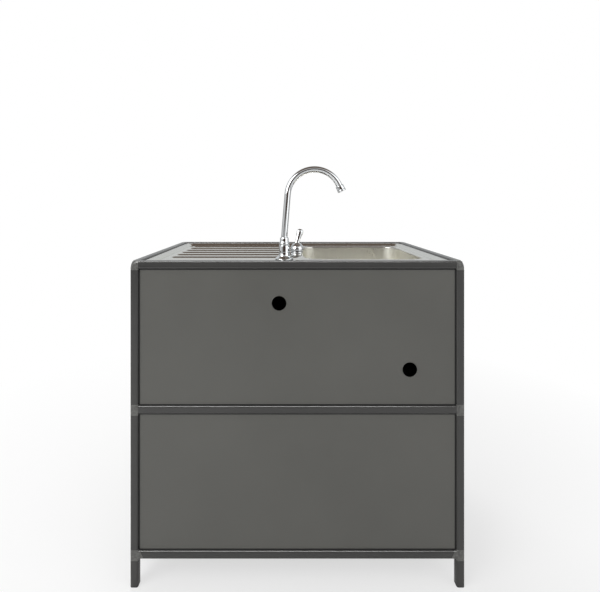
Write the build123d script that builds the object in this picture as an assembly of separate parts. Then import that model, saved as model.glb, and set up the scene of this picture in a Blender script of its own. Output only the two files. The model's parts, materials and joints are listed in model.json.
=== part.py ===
from build123d import *
import math
import os

# Kitchen sink unit: a powder-coated square-tube frame with sheet panels, two
# pairs of doors, a lay-in stainless sink with a drainer, and a swan-neck mixer.
# Millimetres, +Z up.  The user stands on the -Y side, so left is -X.
# The back, with the tap and the two pipe holes, is on the +Y side.

# ---------------------------------------------------------------- frame sizes
WIDTH = 922.0
DEPTH = 562.0
FRAME_TOP = 900.0
TUBE = 22.0
TUBE_WALL = 1.5
TUBE_CORNER = 5.0
RAIL_PITCH = 400.0
PANEL_RECESS = 6.0
KNOB_REACH = 20.0

# the knobs stand out in front, so the frame sits half of that further back
KNOB_OVERHANG = KNOB_REACH - PANEL_RECESS
FRONT = -DEPTH / 2 + KNOB_OVERHANG / 2
BACK = DEPTH / 2 + KNOB_OVERHANG / 2
MID_Y = (FRONT + BACK) / 2
SIDE = WIDTH / 2

HALF_TUBE = TUBE / 2
POST_X = SIDE - HALF_TUBE
POST_Y = {"front": FRONT + HALF_TUBE, "back": BACK - HALF_TUBE}
LEVEL_Z = {
    "top": FRAME_TOP - HALF_TUBE,
    "middle": FRAME_TOP - HALF_TUBE - RAIL_PITCH,
    "bottom": FRAME_TOP - HALF_TUBE - 2 * RAIL_PITCH,
}
CLEAR_X = SIDE - TUBE
CLEAR_Y = DEPTH / 2 - TUBE
HANDS = {"left": -1, "right": 1}

COLLAR = {"top": 3.0, "middle": 4.0, "bottom": 4.0}
BALL_R = 28.2
SPIGOT = 18.6
SPIGOT_CORNER = 3.2
SPIGOT_LENGTH = 20.0
GUSSET_TOP = 6.0
GUSSET_BOTTOM = 16.0
GUSSET_GAP = 1.0
GROOVE_LINE_Z = FRAME_TOP - 15.5
GROOVE_LINE_HEIGHT = 3.0
GROOVE_LINE_DEPTH = 0.9
CAP_HEIGHT = 5.0
CAP_PLUG = 15.0
FOOT_ROUND = 1.8

# ---------------------------------------------------------------- sheet panels
SHEET = 1.2
SHEET_ROUND = 1.5
PANEL_GAP = 1.5
PANEL_FLANGE = 12.0
BAY_HEIGHT = RAIL_PITCH - TUBE
BAY_Z = {
    "upper": (LEVEL_Z["top"] + LEVEL_Z["middle"]) / 2,
    "lower": (LEVEL_Z["middle"] + LEVEL_Z["bottom"]) / 2,
}
SHELF_DROP = 2.0
PIPE_HOLE_R = 21.0
SUPPLY_HOLE = (50.5, 782.0)
WASTE_HOLE = (-311.5, 598.5)
CLIP_LENGTH = 18.0
CLIP_WIDTH = 9.0
CLIP_INSET = 120.0

# ---------------------------------------------------------------- doors
DOOR_GAP = 2.0
DOOR_MEETING_GAP = 3.0
DOOR_DEPTH = TUBE - PANEL_RECESS
DOOR_LIP = 12.0
DOOR_WIDTH = CLEAR_X - DOOR_GAP - DOOR_MEETING_GAP / 2
DOOR_HEIGHT = BAY_HEIGHT - 2 * DOOR_GAP
DOOR_FACE_Y = FRONT + PANEL_RECESS
PIVOT_INSET = 8.0
PIVOT_BACKSET = 4.0
PIVOT_R = 3.0
PIVOT_BORE_R = 3.05
PIVOT_STUD = 11.0
PIVOT_BORE_DEPTH = 12.5
PIVOT_BLOCK_DEPTH = 15.0
PIVOT_PLATE = 1.2
PIVOT_PLATE_LENGTH = 16.0
PIVOT_PLATE_BREADTH = 12.0
PIVOT_X = CLEAR_X - DOOR_GAP - PIVOT_INSET
PIVOT_Y = DOOR_FACE_Y + PIVOT_BACKSET
KNOB_R = 12.0
KNOB_NECK_R = 5.5
KNOB_INSET = 40.0
CATCH_HALF = 36.0
CATCH_DEPTH = 14.0
CATCH_HEIGHT = 16.0
CATCH_CLEARANCE = 0.4
CATCH_FOOT = 7.0

# ---------------------------------------------------------------- sink
STEEL = 1.0
SINK_GAP = 3.0
SINK_LENGTH = 2 * (CLEAR_X - SINK_GAP)
SINK_BREADTH = 2 * (CLEAR_Y - SINK_GAP)
RIM_Z = FRAME_TOP - 3.5
DECK_Z = FRAME_TOP - 10.0
SKIRT_Z = FRAME_TOP - 20.0
RIM_BAND = 18.0
RIM_SLOPE = 6.0
RIM_ROUND = 3.0
RIM_CORNER = 10.0
FIELD_CORNER = 26.0
BOWL_LENGTH = 370.0
BOWL_BREADTH = 365.0
BOWL_CORNER = 60.0
BOWL_X = -213.0
BOWL_Y = BACK - 294.5
BOWL_DEPTH = 160.0
BOWL_DRAFT = 3.0
BOWL_FLOOR_ROUND = 32.0
LIP_ROUND = 6.0
LIP_DEPTH = 8.0
DRAIN_R = 43.0
CHANNELS = 6
CHANNEL_PITCH = 62.0
CHANNEL_FIRST_Y = BACK - 155.0
CHANNEL_WIDTH = 36.0
CHANNEL_DROP = 3.0
CHANNEL_SLOPE = 58.0
CHANNEL_START_X = -14.0
CHANNEL_END_X = 394.0
SUPPORT_LEG = 24.0
SUPPORT_THICKNESS = 2.0
SUPPORT_RISE = 12.0
OVERFLOW_DROP = 42.0
OVERFLOW_HOLE_R = 14.0
OVERFLOW_NECK_R = 13.0
OVERFLOW_NECK_BORE_R = 10.0
OVERFLOW_NECK = 19.0
OVERFLOW_NECK_WALL = 3.0
OVERFLOW_PIPE_R = 9.5
OVERFLOW_PIPE_WALL = 2.0
OVERFLOW_PIPE = 42.0
OVERFLOW_PIPE_BACKSET = 8.0
OVERFLOW_PIPE_DROP = 4.0
ROSE_R = 22.0
ROSE_THICKNESS = 2.4
ROSE_ROUND = 1.4
ROSE_HOLES = 6
ROSE_HOLE_R = 2.3
ROSE_RING_R = 6.5

# ---------------------------------------------------------------- waste
BOWL_FLOOR_Z = DECK_Z - BOWL_DEPTH
CUP_R = 42.5
CUP_DEPTH = 38.0
CUP_FLANGE_R = 56.0
CUP_HOLES = 6
CUP_HOLE_R = 7.5
CUP_RING_R = 24.0
BASKET_R = 40.4
BASKET_DEPTH = 26.0
BASKET_HOLES = 18
BASKET_HOLE_R = 1.5
BASKET_ROWS = (6.0, 11.0, 16.0)
WASTE_CLEARANCE = 1.0
WASTE_WALL = 3.0
WASTE_FLANGE = 10.0
TAIL_R = 19.0
TAIL_WALL = 2.5
TAIL_INSERT = 30.0
OVERFLOW_STUB_DROP = 20.0
OVERFLOW_STUB_REACH = 31.0
TRAP_R = 32.0
TRAP_TOP_Z = 652.0
TRAP_ARM_Z = WASTE_HOLE[1]
TRAP_WALL = 2.5
TRAP_SOCKET = 20.0
TRAP_STUB_R = 21.5
TRAP_STUB_REACH = 60.0
TRAP_ARM_REACH = 112.0
TRAP_ARM_R = 20.0
TRAP_ARM_WALL = 2.0
TRAP_THREAD = 15.0
TRAP_SPLIT_Z = TRAP_ARM_Z - 22.0
TRAP_FOOT_Z = 532.0
NUT_RIBS = 12
NUT_RIB = 3.0
NUT_HEIGHT = 16.0
NUT_WALL = 5.0
NUT_CLEARANCE = 0.3

# ---------------------------------------------------------------- tap
TAP_X = 36.0
TAP_Y = BACK - 106.0
TAP_HOLE_R = 17.5
GASKET = 1.5
BASE_R = 28.0
SHANK_R = 14.5
SHANK_WALL = 3.5
SHANK_LENGTH = 58.0
SHANK_CEILING = 4.0
WATERWAY_R = 5.0
MOUNT_WASHER_R = 24.0
MOUNT_WASHER = 2.5
MOUNT_NUT_R = 21.0
MOUNT_NUT = 10.5
COLUMN_R = 16.0
COLUMN_TOP_Z = 934.0
COLLAR_TOP_Z = 957.0
SPOUT_R = 9.5
SPOUT_BORE_R = 8.0
SPOUT_FIT = 0.06
SPOUT_SOCKET = 25.0
SPOUT_BEND_RISE = 4.0
SPOUT_BEND_R = 60.0
SPOUT_LEAN = 4.5
SPOUT_ARC_R = 81.4
SPOUT_TOP_Z = 1171.5
SPOUT_END_ANGLE = 26.0
SPOUT_TIP = 10.0
AERATOR_R = 12.3
AERATOR_LENGTH = 19.0
AERATOR_OVERLAP = 6.0
AERATOR_HOLE_R = 0.9
TAIL_PIPE_R = 5.0
TAIL_PIPE_WALL = 1.0
TAIL_PIPE_LOW_Z = 786.0
TAIL_SPREAD = 19.0
TAIL_BEND_TOP_Z = 830.0
TAIL_BEND_LOW_Z = 812.0
TAIL_BEND_R = 15.0
VALVE_OFFSET = 38.5
VALVE_R = 18.2
VALVE_TOP_Z = 915.0
VALVE_BORE_R = 14.5
VALVE_FLOOR_Z = 901.5
VALVE_FOOT_Z = 898.0
VALVE_ARM_R = 6.5
VALVE_ARM_Z = 905.0
CARTRIDGE_BORE_R = 13.0
CARTRIDGE_FLOOR = 1.5
CARTRIDGE_RISE = 2.0
YOKE_FIT = 0.05
YOKE_DISC = 3.0
YOKE_EAR = 3.0
YOKE_EAR_R = 4.0
LUG_HALF = 4.6
LUG_GAP = 0.4
LEVER_PIVOT_Z = 912.0
LEVER_PIN_R = 2.0
LEVER_PIN_FIT = 0.05
CAP_R = 20.0
CAP_SKIRT_Z = 917.0
CAP_SHOULDER_Z = 922.0
CAP_CROWN_Z = 941.0
CAP_WALL = 1.5
LEVER_LENGTH = 44.5
LEVER_FLATTENING = 0.62
LEVER_LEAN = 15.0
LEVER_FORWARD = 12.0


# ================================================================== helpers
def block(x0, x1, y0, y1, z0, z1):
    """A box given by its two corners, in any order."""
    centre = Pos((x0 + x1) / 2, (y0 + y1) / 2, (z0 + z1) / 2)
    return centre * Box(abs(x1 - x0), abs(y1 - y0), abs(z1 - z0))


def upright(radius, z0, z1, x=0.0, y=0.0):
    """A vertical cylinder between two heights."""
    return Pos(x, y, (z0 + z1) / 2) * Cylinder(radius, abs(z1 - z0))


def turned(points):
    """Revolves a closed outline of (radius, z) points about the Z axis."""
    corners = [(radius, 0, z) for radius, z in points]
    return revolve(make_face(Polyline(*corners, close=True)), Axis.Z)


def slab(length, breadth, corner, z_low, z_high, x=0.0, y=0.0, draft=0.0):
    """A plate with rounded corners; a draft in degrees narrows it downwards."""
    top = Plane(origin=(x, y, z_high), z_dir=(0, 0, -1))
    outline = top * RectangleRounded(length, breadth, corner)
    return extrude(outline, amount=z_high - z_low, taper=draft)


# ================================================================== the frame
def tube(start, end):
    """A hollow square tube with rounded corners between two points on one axis."""
    run = Vector(*end) - Vector(*start)
    across = (0, 1, 0) if abs(run.X) > 0 else (1, 0, 0)
    inner = TUBE - 2 * TUBE_WALL
    section = RectangleRounded(TUBE, TUBE, TUBE_CORNER)
    section = section - RectangleRounded(inner, inner, TUBE_CORNER - TUBE_WALL)
    plane = Plane(origin=start, x_dir=across, z_dir=run.normalized())
    return extrude(plane * section, amount=run.length)


def node_span(level):
    """Lowest and highest point of the connectors of one level."""
    low = LEVEL_Z[level] - HALF_TUBE - COLLAR[level]
    high = LEVEL_Z[level] + HALF_TUBE + COLLAR[level]
    return low, min(high, FRAME_TOP)


def post(x, y):
    """Leg, lower tube and upper tube of one corner."""
    heights = [
        (CAP_HEIGHT, node_span("bottom")[0]),
        (node_span("bottom")[1], node_span("middle")[0]),
        (node_span("middle")[1], node_span("top")[0]),
    ]
    return Compound([tube((x, y, low), (x, y, high)) for low, high in heights])


def gusset(hand, y, grow=0.0):
    """Slanted arm of a bottom connector along the long rail."""
    inner, z = hand * CLEAR_X, LEVEL_Z["bottom"]
    low, high = z - HALF_TUBE - grow, z + HALF_TUBE + grow
    widening = (GUSSET_BOTTOM - GUSSET_TOP) / TUBE * grow
    outline = [
        (inner, low),
        (inner - hand * (GUSSET_BOTTOM + widening), low),
        (inner - hand * (GUSSET_TOP - widening), high),
        (inner, high),
    ]
    depth = HALF_TUBE + grow
    face = make_face(Polyline(*[(px, y + depth, pz) for px, pz in outline], close=True))
    wedge = extrude(face, amount=2 * depth, dir=(0, -1, 0))
    if grow:
        return wedge
    return wedge & square_bar(inner, y, z, (-hand, 0, 0), TUBE, TUBE_CORNER, GUSSET_BOTTOM)


def long_rail(row, level):
    """A rail along X between a left and a right post."""
    y, z = POST_Y[row], LEVEL_Z[level]
    rail = tube((-CLEAR_X, y, z), (CLEAR_X, y, z))
    if level == "bottom":
        rail = rail - gusset(-1, y, GUSSET_GAP) - gusset(1, y, GUSSET_GAP)
    if level == "top":
        outer = BACK if row == "back" else FRONT
        rail = rail - block(
            -CLEAR_X, CLEAR_X, outer - GROOVE_LINE_DEPTH, outer + GROOVE_LINE_DEPTH,
            GROOVE_LINE_Z, GROOVE_LINE_Z + GROOVE_LINE_HEIGHT,
        )
    return rail


def side_rail(hand, level):
    """A rail along Y between a front and a back post."""
    x, z = hand * POST_X, LEVEL_Z[level]
    rail = tube((x, FRONT + TUBE, z), (x, BACK - TUBE, z))
    if level == "top":
        rail = rail - block(
            hand * (SIDE - GROOVE_LINE_DEPTH), hand * (SIDE + GROOVE_LINE_DEPTH),
            FRONT + TUBE, BACK - TUBE, GROOVE_LINE_Z, GROOVE_LINE_Z + GROOVE_LINE_HEIGHT,
        )
    return rail


def square_bar(x, y, z, direction, size, corner, length):
    """A solid square bar with rounded corners, from a point in one direction."""
    across = (0, 1, 0) if direction[0] else (1, 0, 0)
    plane = Plane(origin=(x, y, z), x_dir=across, z_dir=direction)
    return extrude(plane * RectangleRounded(size, size, corner), amount=length)


def spigot(x, y, z, direction, length):
    """A plug that fits inside a tube."""
    return square_bar(x, y, z, direction, SPIGOT, SPIGOT_CORNER, length)


def connector(hand, row, level):
    """A cast corner piece the size of the tube, with a plug into each tube."""
    x, y, z = hand * POST_X, POST_Y[row], LEVEL_Z[level]
    outward = 1 if row == "back" else -1
    low, high = node_span(level)
    body = block(x - HALF_TUBE, x + HALF_TUBE, y - HALF_TUBE, y + HALF_TUBE, low, high)
    corner = Vertex(x + hand * HALF_TUBE, y + outward * HALF_TUBE, high)
    outer_edges = body.edges().sort_by_distance(corner)[:3]
    if level != "top":
        outer_edges = outer_edges.filter_by(Axis.Z)
    body = fillet(outer_edges, TUBE_CORNER)
    if level == "top":
        inner_corner = Pos(x - hand * HALF_TUBE, y - outward * HALF_TUBE, high - TUBE)
        body = body & inner_corner * Sphere(BALL_R)
    reach = HALF_TUBE + SPIGOT_LENGTH
    along_x = reach + GUSSET_BOTTOM if level == "bottom" else reach
    body = body + spigot(x, y, z, (-hand, 0, 0), along_x)
    body = body + spigot(x, y, z, (0, -outward, 0), reach)
    body = body + spigot(x, y, z, (0, 0, -1), z - low + SPIGOT_LENGTH)
    if level != "top":
        body = body + spigot(x, y, z, (0, 0, 1), high - z + SPIGOT_LENGTH)
    if level == "bottom":
        body = body + gusset(hand, y)
    return body


def connectors(level):
    """The four connectors of one level."""
    return Compound(
        [connector(hand, row, level) for hand in HANDS.values() for row in POST_Y]
    )


def foot_caps():
    """Plastic caps plugged into the legs, rounded where they meet the floor."""
    caps = []
    for x in (-POST_X, POST_X):
        for y in POST_Y.values():
            cap = slab(TUBE, TUBE, TUBE_CORNER, 0, CAP_HEIGHT, x, y)
            cap = fillet(cap.edges().group_by(Axis.Z)[0], FOOT_ROUND)
            caps.append(cap + spigot(x, y, CAP_HEIGHT - 1, (0, 0, 1), CAP_PLUG))
    return Compound(caps)


# ================================================================== sheet panels
def pan(length, height, depth, lip=0.0):
    """A folded sheet: its skin at y = 0 faces -Y and its flanges run towards +Y."""
    body = block(-length / 2, length / 2, 0, depth, -height / 2, height / 2)
    body = fillet(body.edges().filter_by(Axis.Y), SHEET_ROUND)
    body = fillet(body.edges().group_by(Axis.Y)[0], SHEET_ROUND / 2)
    inner_l, inner_h = length / 2 - SHEET, height / 2 - SHEET
    far = depth - SHEET if lip else depth + 1
    body = body - block(-inner_l, inner_l, SHEET, far, -inner_h, inner_h)
    if lip:
        open_l, open_h = length / 2 - lip, height / 2 - lip
        body = body - block(-open_l, open_l, depth / 2, depth + 1, -open_h, open_h)
    return body


def back_panel(bay):
    """Back sheet of one bay; the upper one has the two pipe holes."""
    flat = pan(2 * (CLEAR_X - PANEL_GAP), BAY_HEIGHT - 2 * PANEL_GAP, PANEL_FLANGE)
    panel = Pos(0, BACK - PANEL_RECESS, BAY_Z[bay]) * Rot(0, 0, 180) * flat
    if bay == "upper":
        for x, z in (SUPPLY_HOLE, WASTE_HOLE):
            panel = panel - Pos(x, BACK, z) * Rot(90, 0, 0) * Cylinder(PIPE_HOLE_R, 2 * TUBE)
    return panel


def side_panel(hand, bay):
    """Side sheet of one bay."""
    flat = pan(2 * (CLEAR_Y - PANEL_GAP), BAY_HEIGHT - 2 * PANEL_GAP, PANEL_FLANGE)
    return Pos(hand * (SIDE - PANEL_RECESS), MID_Y, BAY_Z[bay]) * Rot(0, 0, 90 * hand) * flat


def tray(level):
    """Floor or shelf: a sheet with its skin up and its flanges down."""
    flat = pan(2 * (CLEAR_X - PANEL_GAP), 2 * (CLEAR_Y - PANEL_GAP), PANEL_FLANGE)
    return Pos(0, MID_Y, LEVEL_Z[level] + HALF_TUBE - SHELF_DROP) * Rot(-90, 0, 0) * flat


def panel_clips():
    """Thin spring clips that wedge the sheets' flanges against the tubes."""
    half = CLIP_LENGTH / 2
    flange_y = BACK - PANEL_RECESS - PANEL_FLANGE
    flange_x = SIDE - PANEL_RECESS - PANEL_FLANGE
    clips = []
    for bay in BAY_Z.values():
        for end in (-1, 1):
            z_out = bay + end * BAY_HEIGHT / 2
            z_in = z_out - end * PANEL_GAP
            for hand in HANDS.values():
                x = hand * (CLEAR_X - CLIP_INSET)
                clips.append(block(x - half, x + half, flange_y, flange_y + CLIP_WIDTH, z_in, z_out))
                x = hand * flange_x
                far = hand * (flange_x + CLIP_WIDTH)
                clips.append(block(x, far, MID_Y - half, MID_Y + half, z_in, z_out))
    for level in ("middle", "bottom"):
        low = LEVEL_Z[level] + HALF_TUBE - SHELF_DROP - PANEL_FLANGE
        high = low + CLIP_WIDTH
        for hand in HANDS.values():
            x_out, x_in = hand * CLEAR_X, hand * (CLEAR_X - PANEL_GAP)
            y_out, y_in = MID_Y + hand * CLEAR_Y, MID_Y + hand * (CLEAR_Y - PANEL_GAP)
            for offset in (-CLIP_INSET, CLIP_INSET):
                y = MID_Y + offset
                clips.append(block(x_in, x_out, y - half, y + half, low, high))
                clips.append(block(offset - half, offset + half, y_in, y_out, low, high))
    return Compound(clips)


# ================================================================== doors
def door(hand, bay):
    """A folded door leaf with a pivot block in each corner of its hinge edge."""
    z = BAY_Z[bay]
    centre_x = hand * (DOOR_MEETING_GAP + DOOR_WIDTH) / 2
    leaf = Pos(centre_x, DOOR_FACE_Y, z) * pan(DOOR_WIDTH, DOOR_HEIGHT, DOOR_DEPTH, DOOR_LIP)
    edge = hand * (CLEAR_X - DOOR_GAP - SHEET / 2)
    inner = edge - hand * 2 * PIVOT_INSET
    near, far = DOOR_FACE_Y + SHEET / 2, DOOR_FACE_Y + DOOR_DEPTH - SHEET / 2
    for end in (-1, 1):
        rim = z + end * DOOR_HEIGHT / 2
        deep = rim - end * PIVOT_BLOCK_DEPTH
        leaf = leaf + block(edge, inner, near, far, rim - end * SHEET / 2, deep)
        bore_end = rim - end * PIVOT_BORE_DEPTH
        leaf = leaf - upright(PIVOT_BORE_R, rim + end, bore_end, hand * PIVOT_X, PIVOT_Y)
    return leaf


def door_pivots():
    """Eight pivot studs, each on a small plate against a rail."""
    studs = []
    for bay in BAY_Z.values():
        for end in (-1, 1):
            rail = bay + end * BAY_HEIGHT / 2
            plate = rail - end * PIVOT_PLATE
            tip = rail - end * (DOOR_GAP + PIVOT_STUD)
            for hand in HANDS.values():
                x = hand * PIVOT_X
                pad = Pos(x, PIVOT_Y, (plate + rail) / 2) * Box(
                    PIVOT_PLATE_LENGTH, PIVOT_PLATE_BREADTH, PIVOT_PLATE
                )
                studs.append(pad + upright(PIVOT_R, rail, tip, x, PIVOT_Y))
    return Compound(studs)


def knob(hand, bay):
    """A turned knob near the free edge of a door."""
    outline = [
        (0, 0),
        (KNOB_NECK_R + 2.5, 0),
        (KNOB_NECK_R + 2.5, 1.5),
        (KNOB_NECK_R, 3.0),
        (KNOB_NECK_R, 9.0),
        (KNOB_R - 1.5, KNOB_REACH - 8.5),
        (KNOB_R, KNOB_REACH - 6.5),
        (KNOB_R, KNOB_REACH - 2.5),
        (KNOB_R - 0.8, KNOB_REACH - 0.9),
        (KNOB_R - 2.6, KNOB_REACH),
        (0, KNOB_REACH),
    ]
    x = hand * (DOOR_MEETING_GAP / 2 + KNOB_INSET)
    return Pos(x, DOOR_FACE_Y, BAY_Z[bay]) * Rot(90, 0, 0) * turned(outline)


def door_catches():
    """A double magnetic catch at the top of each bay, just behind the doors."""
    near = FRONT + TUBE
    far = near + CATCH_DEPTH
    magnets = []
    for level in ("top", "middle"):
        high = LEVEL_Z[level] - HALF_TUBE
        magnet = block(
            -CATCH_HALF, CATCH_HALF, near + CATCH_CLEARANCE, far, high - CATCH_HEIGHT, high
        )
        if level == "middle":
            magnet = magnet + block(-CATCH_HALF, CATCH_HALF, near, far, high, high + CATCH_FOOT)
        magnets.append(magnet)
    return Compound(magnets)


# ================================================================== sink
def bowl_outline(grow, z_low, z_high, draft=0.0):
    """The bowl's rounded outline as a solid."""
    length, breadth = BOWL_LENGTH + 2 * grow, BOWL_BREADTH + 2 * grow
    return slab(length, breadth, BOWL_CORNER + grow, z_low, z_high, BOWL_X, BOWL_Y, draft)


def rim_well(grow, z_low, z_high):
    """The space inside the raised rim, whose walls slope down to the deck."""
    slope = math.degrees(math.atan2(RIM_SLOPE, RIM_Z - DECK_Z))
    length = SINK_LENGTH - 2 * RIM_BAND + 2 * grow
    breadth = SINK_BREADTH - 2 * RIM_BAND + 2 * grow
    return slab(length, breadth, FIELD_CORNER + grow, z_low, z_high, 0, MID_Y, slope)


def channel(index, grow=0.0):
    """One drainer channel along X, with sloping sides and round ends."""
    y = CHANNEL_FIRST_Y - index * CHANNEL_PITCH
    length = CHANNEL_END_X - CHANNEL_START_X + 4 * grow
    width = CHANNEL_WIDTH + 4 * grow
    centre_x = (CHANNEL_START_X + CHANNEL_END_X) / 2
    top = Plane(origin=(centre_x, y, DECK_Z), z_dir=(0, 0, -1))
    outline = top * RectangleRounded(length, width, width / 2 - 0.5)
    return extrude(outline, amount=CHANNEL_DROP + grow, taper=CHANNEL_SLOPE)


def bowl_lip():
    """Rolled edge between the deck and the bowl, swept round the bowl's outline."""
    rim = Plane(origin=(BOWL_X, BOWL_Y, DECK_Z)) * RectangleRounded(
        BOWL_LENGTH, BOWL_BREADTH, BOWL_CORNER
    )
    path = rim.faces()[0].outer_wire()
    start = path @ 0
    along = path % 0
    outward = Vector(along.Y, -along.X, 0)
    if outward.dot(start - Vector(BOWL_X, BOWL_Y, DECK_Z)) < 0:
        outward = outward * -1
    reach, low = LIP_ROUND, LIP_DEPTH
    bend = math.sqrt(0.5)

    def at(out, down):
        return start + outward * out - Vector(0, 0, down)

    inner = LIP_ROUND - STEEL
    section = Wire(
        [
            ThreePointArc(at(reach, 0), at(reach - reach * bend, reach - reach * bend), at(0, reach)),
            Line(at(0, reach), at(0, low)),
            Line(at(0, low), at(STEEL, low)),
            Line(at(STEEL, low), at(STEEL, reach)),
            ThreePointArc(
                at(STEEL, reach), at(reach - inner * bend, reach - inner * bend), at(reach, STEEL)
            ),
            Line(at(reach, STEEL), at(reach, 0)),
        ]
    )
    return sweep(make_face(section), path=path)


def sink_deck():
    """Pressed top: skirt, raised rim, deck, drainer channels and the bowl's rolled lip."""
    shell = slab(SINK_LENGTH, SINK_BREADTH, RIM_CORNER, SKIRT_Z, RIM_Z, 0, MID_Y)
    shell = fillet(shell.edges().group_by(Axis.Z)[-1], RIM_ROUND)
    inner_length, inner_breadth = SINK_LENGTH - 2 * STEEL, SINK_BREADTH - 2 * STEEL
    hollow = slab(
        inner_length, inner_breadth, RIM_CORNER - STEEL, SKIRT_Z - 1, RIM_Z - STEEL, 0, MID_Y
    )
    hollow = fillet(hollow.edges().group_by(Axis.Z)[-1], RIM_ROUND - STEEL)
    well = rim_well(0, DECK_Z, RIM_Z)
    liner = rim_well(STEEL, DECK_Z - STEEL, RIM_Z - STEEL / 4)
    deck = shell - hollow + liner - well
    deck = deck - bowl_outline(LIP_ROUND, SKIRT_Z, RIM_Z) + bowl_lip()
    opening = bowl_outline(0, SKIRT_Z, RIM_Z)
    for index in range(CHANNELS):
        deck = deck + (channel(index, STEEL) - opening)
    for index in range(CHANNELS):
        deck = deck - channel(index)
    return deck - upright(TAP_HOLE_R, SKIRT_Z, RIM_Z, TAP_X, TAP_Y)


def sink_bowl():
    """Drawn bowl, welded to the lip, with the drain hole and the overflow hole."""
    top = DECK_Z - LIP_DEPTH
    outer = bowl_outline(STEEL, BOWL_FLOOR_Z - STEEL, top, BOWL_DRAFT)
    outer = fillet(outer.edges().group_by(Axis.Z)[0], BOWL_FLOOR_ROUND + STEEL)
    inner = bowl_outline(0, BOWL_FLOOR_Z, top, BOWL_DRAFT)
    inner = fillet(inner.edges().group_by(Axis.Z)[0], BOWL_FLOOR_ROUND)
    bowl = outer - inner
    bowl = bowl - upright(DRAIN_R, BOWL_FLOOR_Z - 5, BOWL_FLOOR_Z + 5, BOWL_X, BOWL_Y)
    return bowl - overflow_axis() * Cylinder(OVERFLOW_HOLE_R, 2 * OVERFLOW_NECK)


def sink_supports():
    """Four steel angles inside the top rails that carry the sink's skirt."""
    low = SKIRT_Z - SUPPORT_THICKNESS
    high = SKIRT_Z + SUPPORT_RISE
    y0 = MID_Y - CLEAR_Y + SUPPORT_LEG
    y1 = MID_Y + CLEAR_Y - SUPPORT_LEG
    angles = []
    for hand in HANDS.values():
        y = MID_Y + hand * CLEAR_Y
        flat = block(-CLEAR_X, CLEAR_X, y, y - hand * SUPPORT_LEG, low, SKIRT_Z)
        wall = block(-CLEAR_X, CLEAR_X, y, y - hand * SUPPORT_THICKNESS, low, high)
        angles.append(flat + wall)
        x = hand * CLEAR_X
        flat = block(x, x - hand * SUPPORT_LEG, y0, y1, low, SKIRT_Z)
        wall = block(x, x - hand * SUPPORT_THICKNESS, y0, y1, low, high)
        angles.append(flat + wall)
    return Compound(angles)


def overflow_axis():
    """Place on the bowl's back wall, with Z pointing squarely into the bowl."""
    lean_in = (OVERFLOW_DROP - LIP_DEPTH) * math.tan(math.radians(BOWL_DRAFT))
    wall_y = BOWL_Y + BOWL_BREADTH / 2 - lean_in
    return Pos(BOWL_X, wall_y, DECK_Z - OVERFLOW_DROP) * Rot(90 - BOWL_DRAFT, 0, 0)


def overflow_fitting():
    """Perforated rose on the bowl's back wall, and the elbow behind it."""
    rose = Cylinder(ROSE_R, ROSE_THICKNESS)
    rose = fillet(rose.edges().group_by(Axis.Z)[-1], ROSE_ROUND)
    throat_depth = OVERFLOW_NECK - OVERFLOW_NECK_WALL
    neck = Pos(0, 0, -OVERFLOW_NECK / 2) * Cylinder(OVERFLOW_NECK_R, OVERFLOW_NECK)
    throat = Pos(0, 0, -throat_depth / 2) * Cylinder(OVERFLOW_NECK_BORE_R, throat_depth)
    fitting = Pos(0, 0, ROSE_THICKNESS / 2) * rose + neck - throat
    for turn in range(ROSE_HOLES):
        drill = Pos(ROSE_RING_R, 0, 0) * Cylinder(ROSE_HOLE_R, 5 * ROSE_THICKNESS)
        fitting = fitting - Rot(0, 0, 360 / ROSE_HOLES * turn) * drill
    fitting = overflow_axis() * fitting
    pipe_y = BOWL_Y + BOWL_BREADTH / 2 + OVERFLOW_PIPE_BACKSET
    high = DECK_Z - OVERFLOW_DROP - OVERFLOW_PIPE_DROP
    low = high - OVERFLOW_PIPE
    bore_r = OVERFLOW_PIPE_R - OVERFLOW_PIPE_WALL
    fitting = fitting + upright(OVERFLOW_PIPE_R, low, high, BOWL_X, pipe_y)
    return fitting - upright(bore_r, low - 1, high - 1, BOWL_X, pipe_y)


# ================================================================== waste
def at_drain(shape):
    """Moves a shape made about the Z axis to the drain's axis."""
    return Pos(BOWL_X, BOWL_Y, 0) * shape


def strainer_cup():
    """Stainless strainer seat that drops through the bowl's drain hole."""
    top = BOWL_FLOOR_Z
    low = top - CUP_DEPTH
    outline = [
        (0, low), (CUP_R - 3, low), (CUP_R, low + 3), (CUP_R, top), (CUP_FLANGE_R, top),
        (CUP_FLANGE_R - 1, top + 1.6), (CUP_R - 0.8, top + 1.2), (CUP_R - STEEL, top),
        (CUP_R - STEEL, low + 3.4), (CUP_R - 3.4, low + STEEL), (0, low + STEEL),
    ]
    cup = turned(outline)
    for turn in range(CUP_HOLES):
        drill = upright(CUP_HOLE_R, low - STEEL, low + 2 * STEEL, CUP_RING_R)
        cup = cup - Rot(0, 0, 360 / CUP_HOLES * turn) * drill
    return at_drain(cup)


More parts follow.
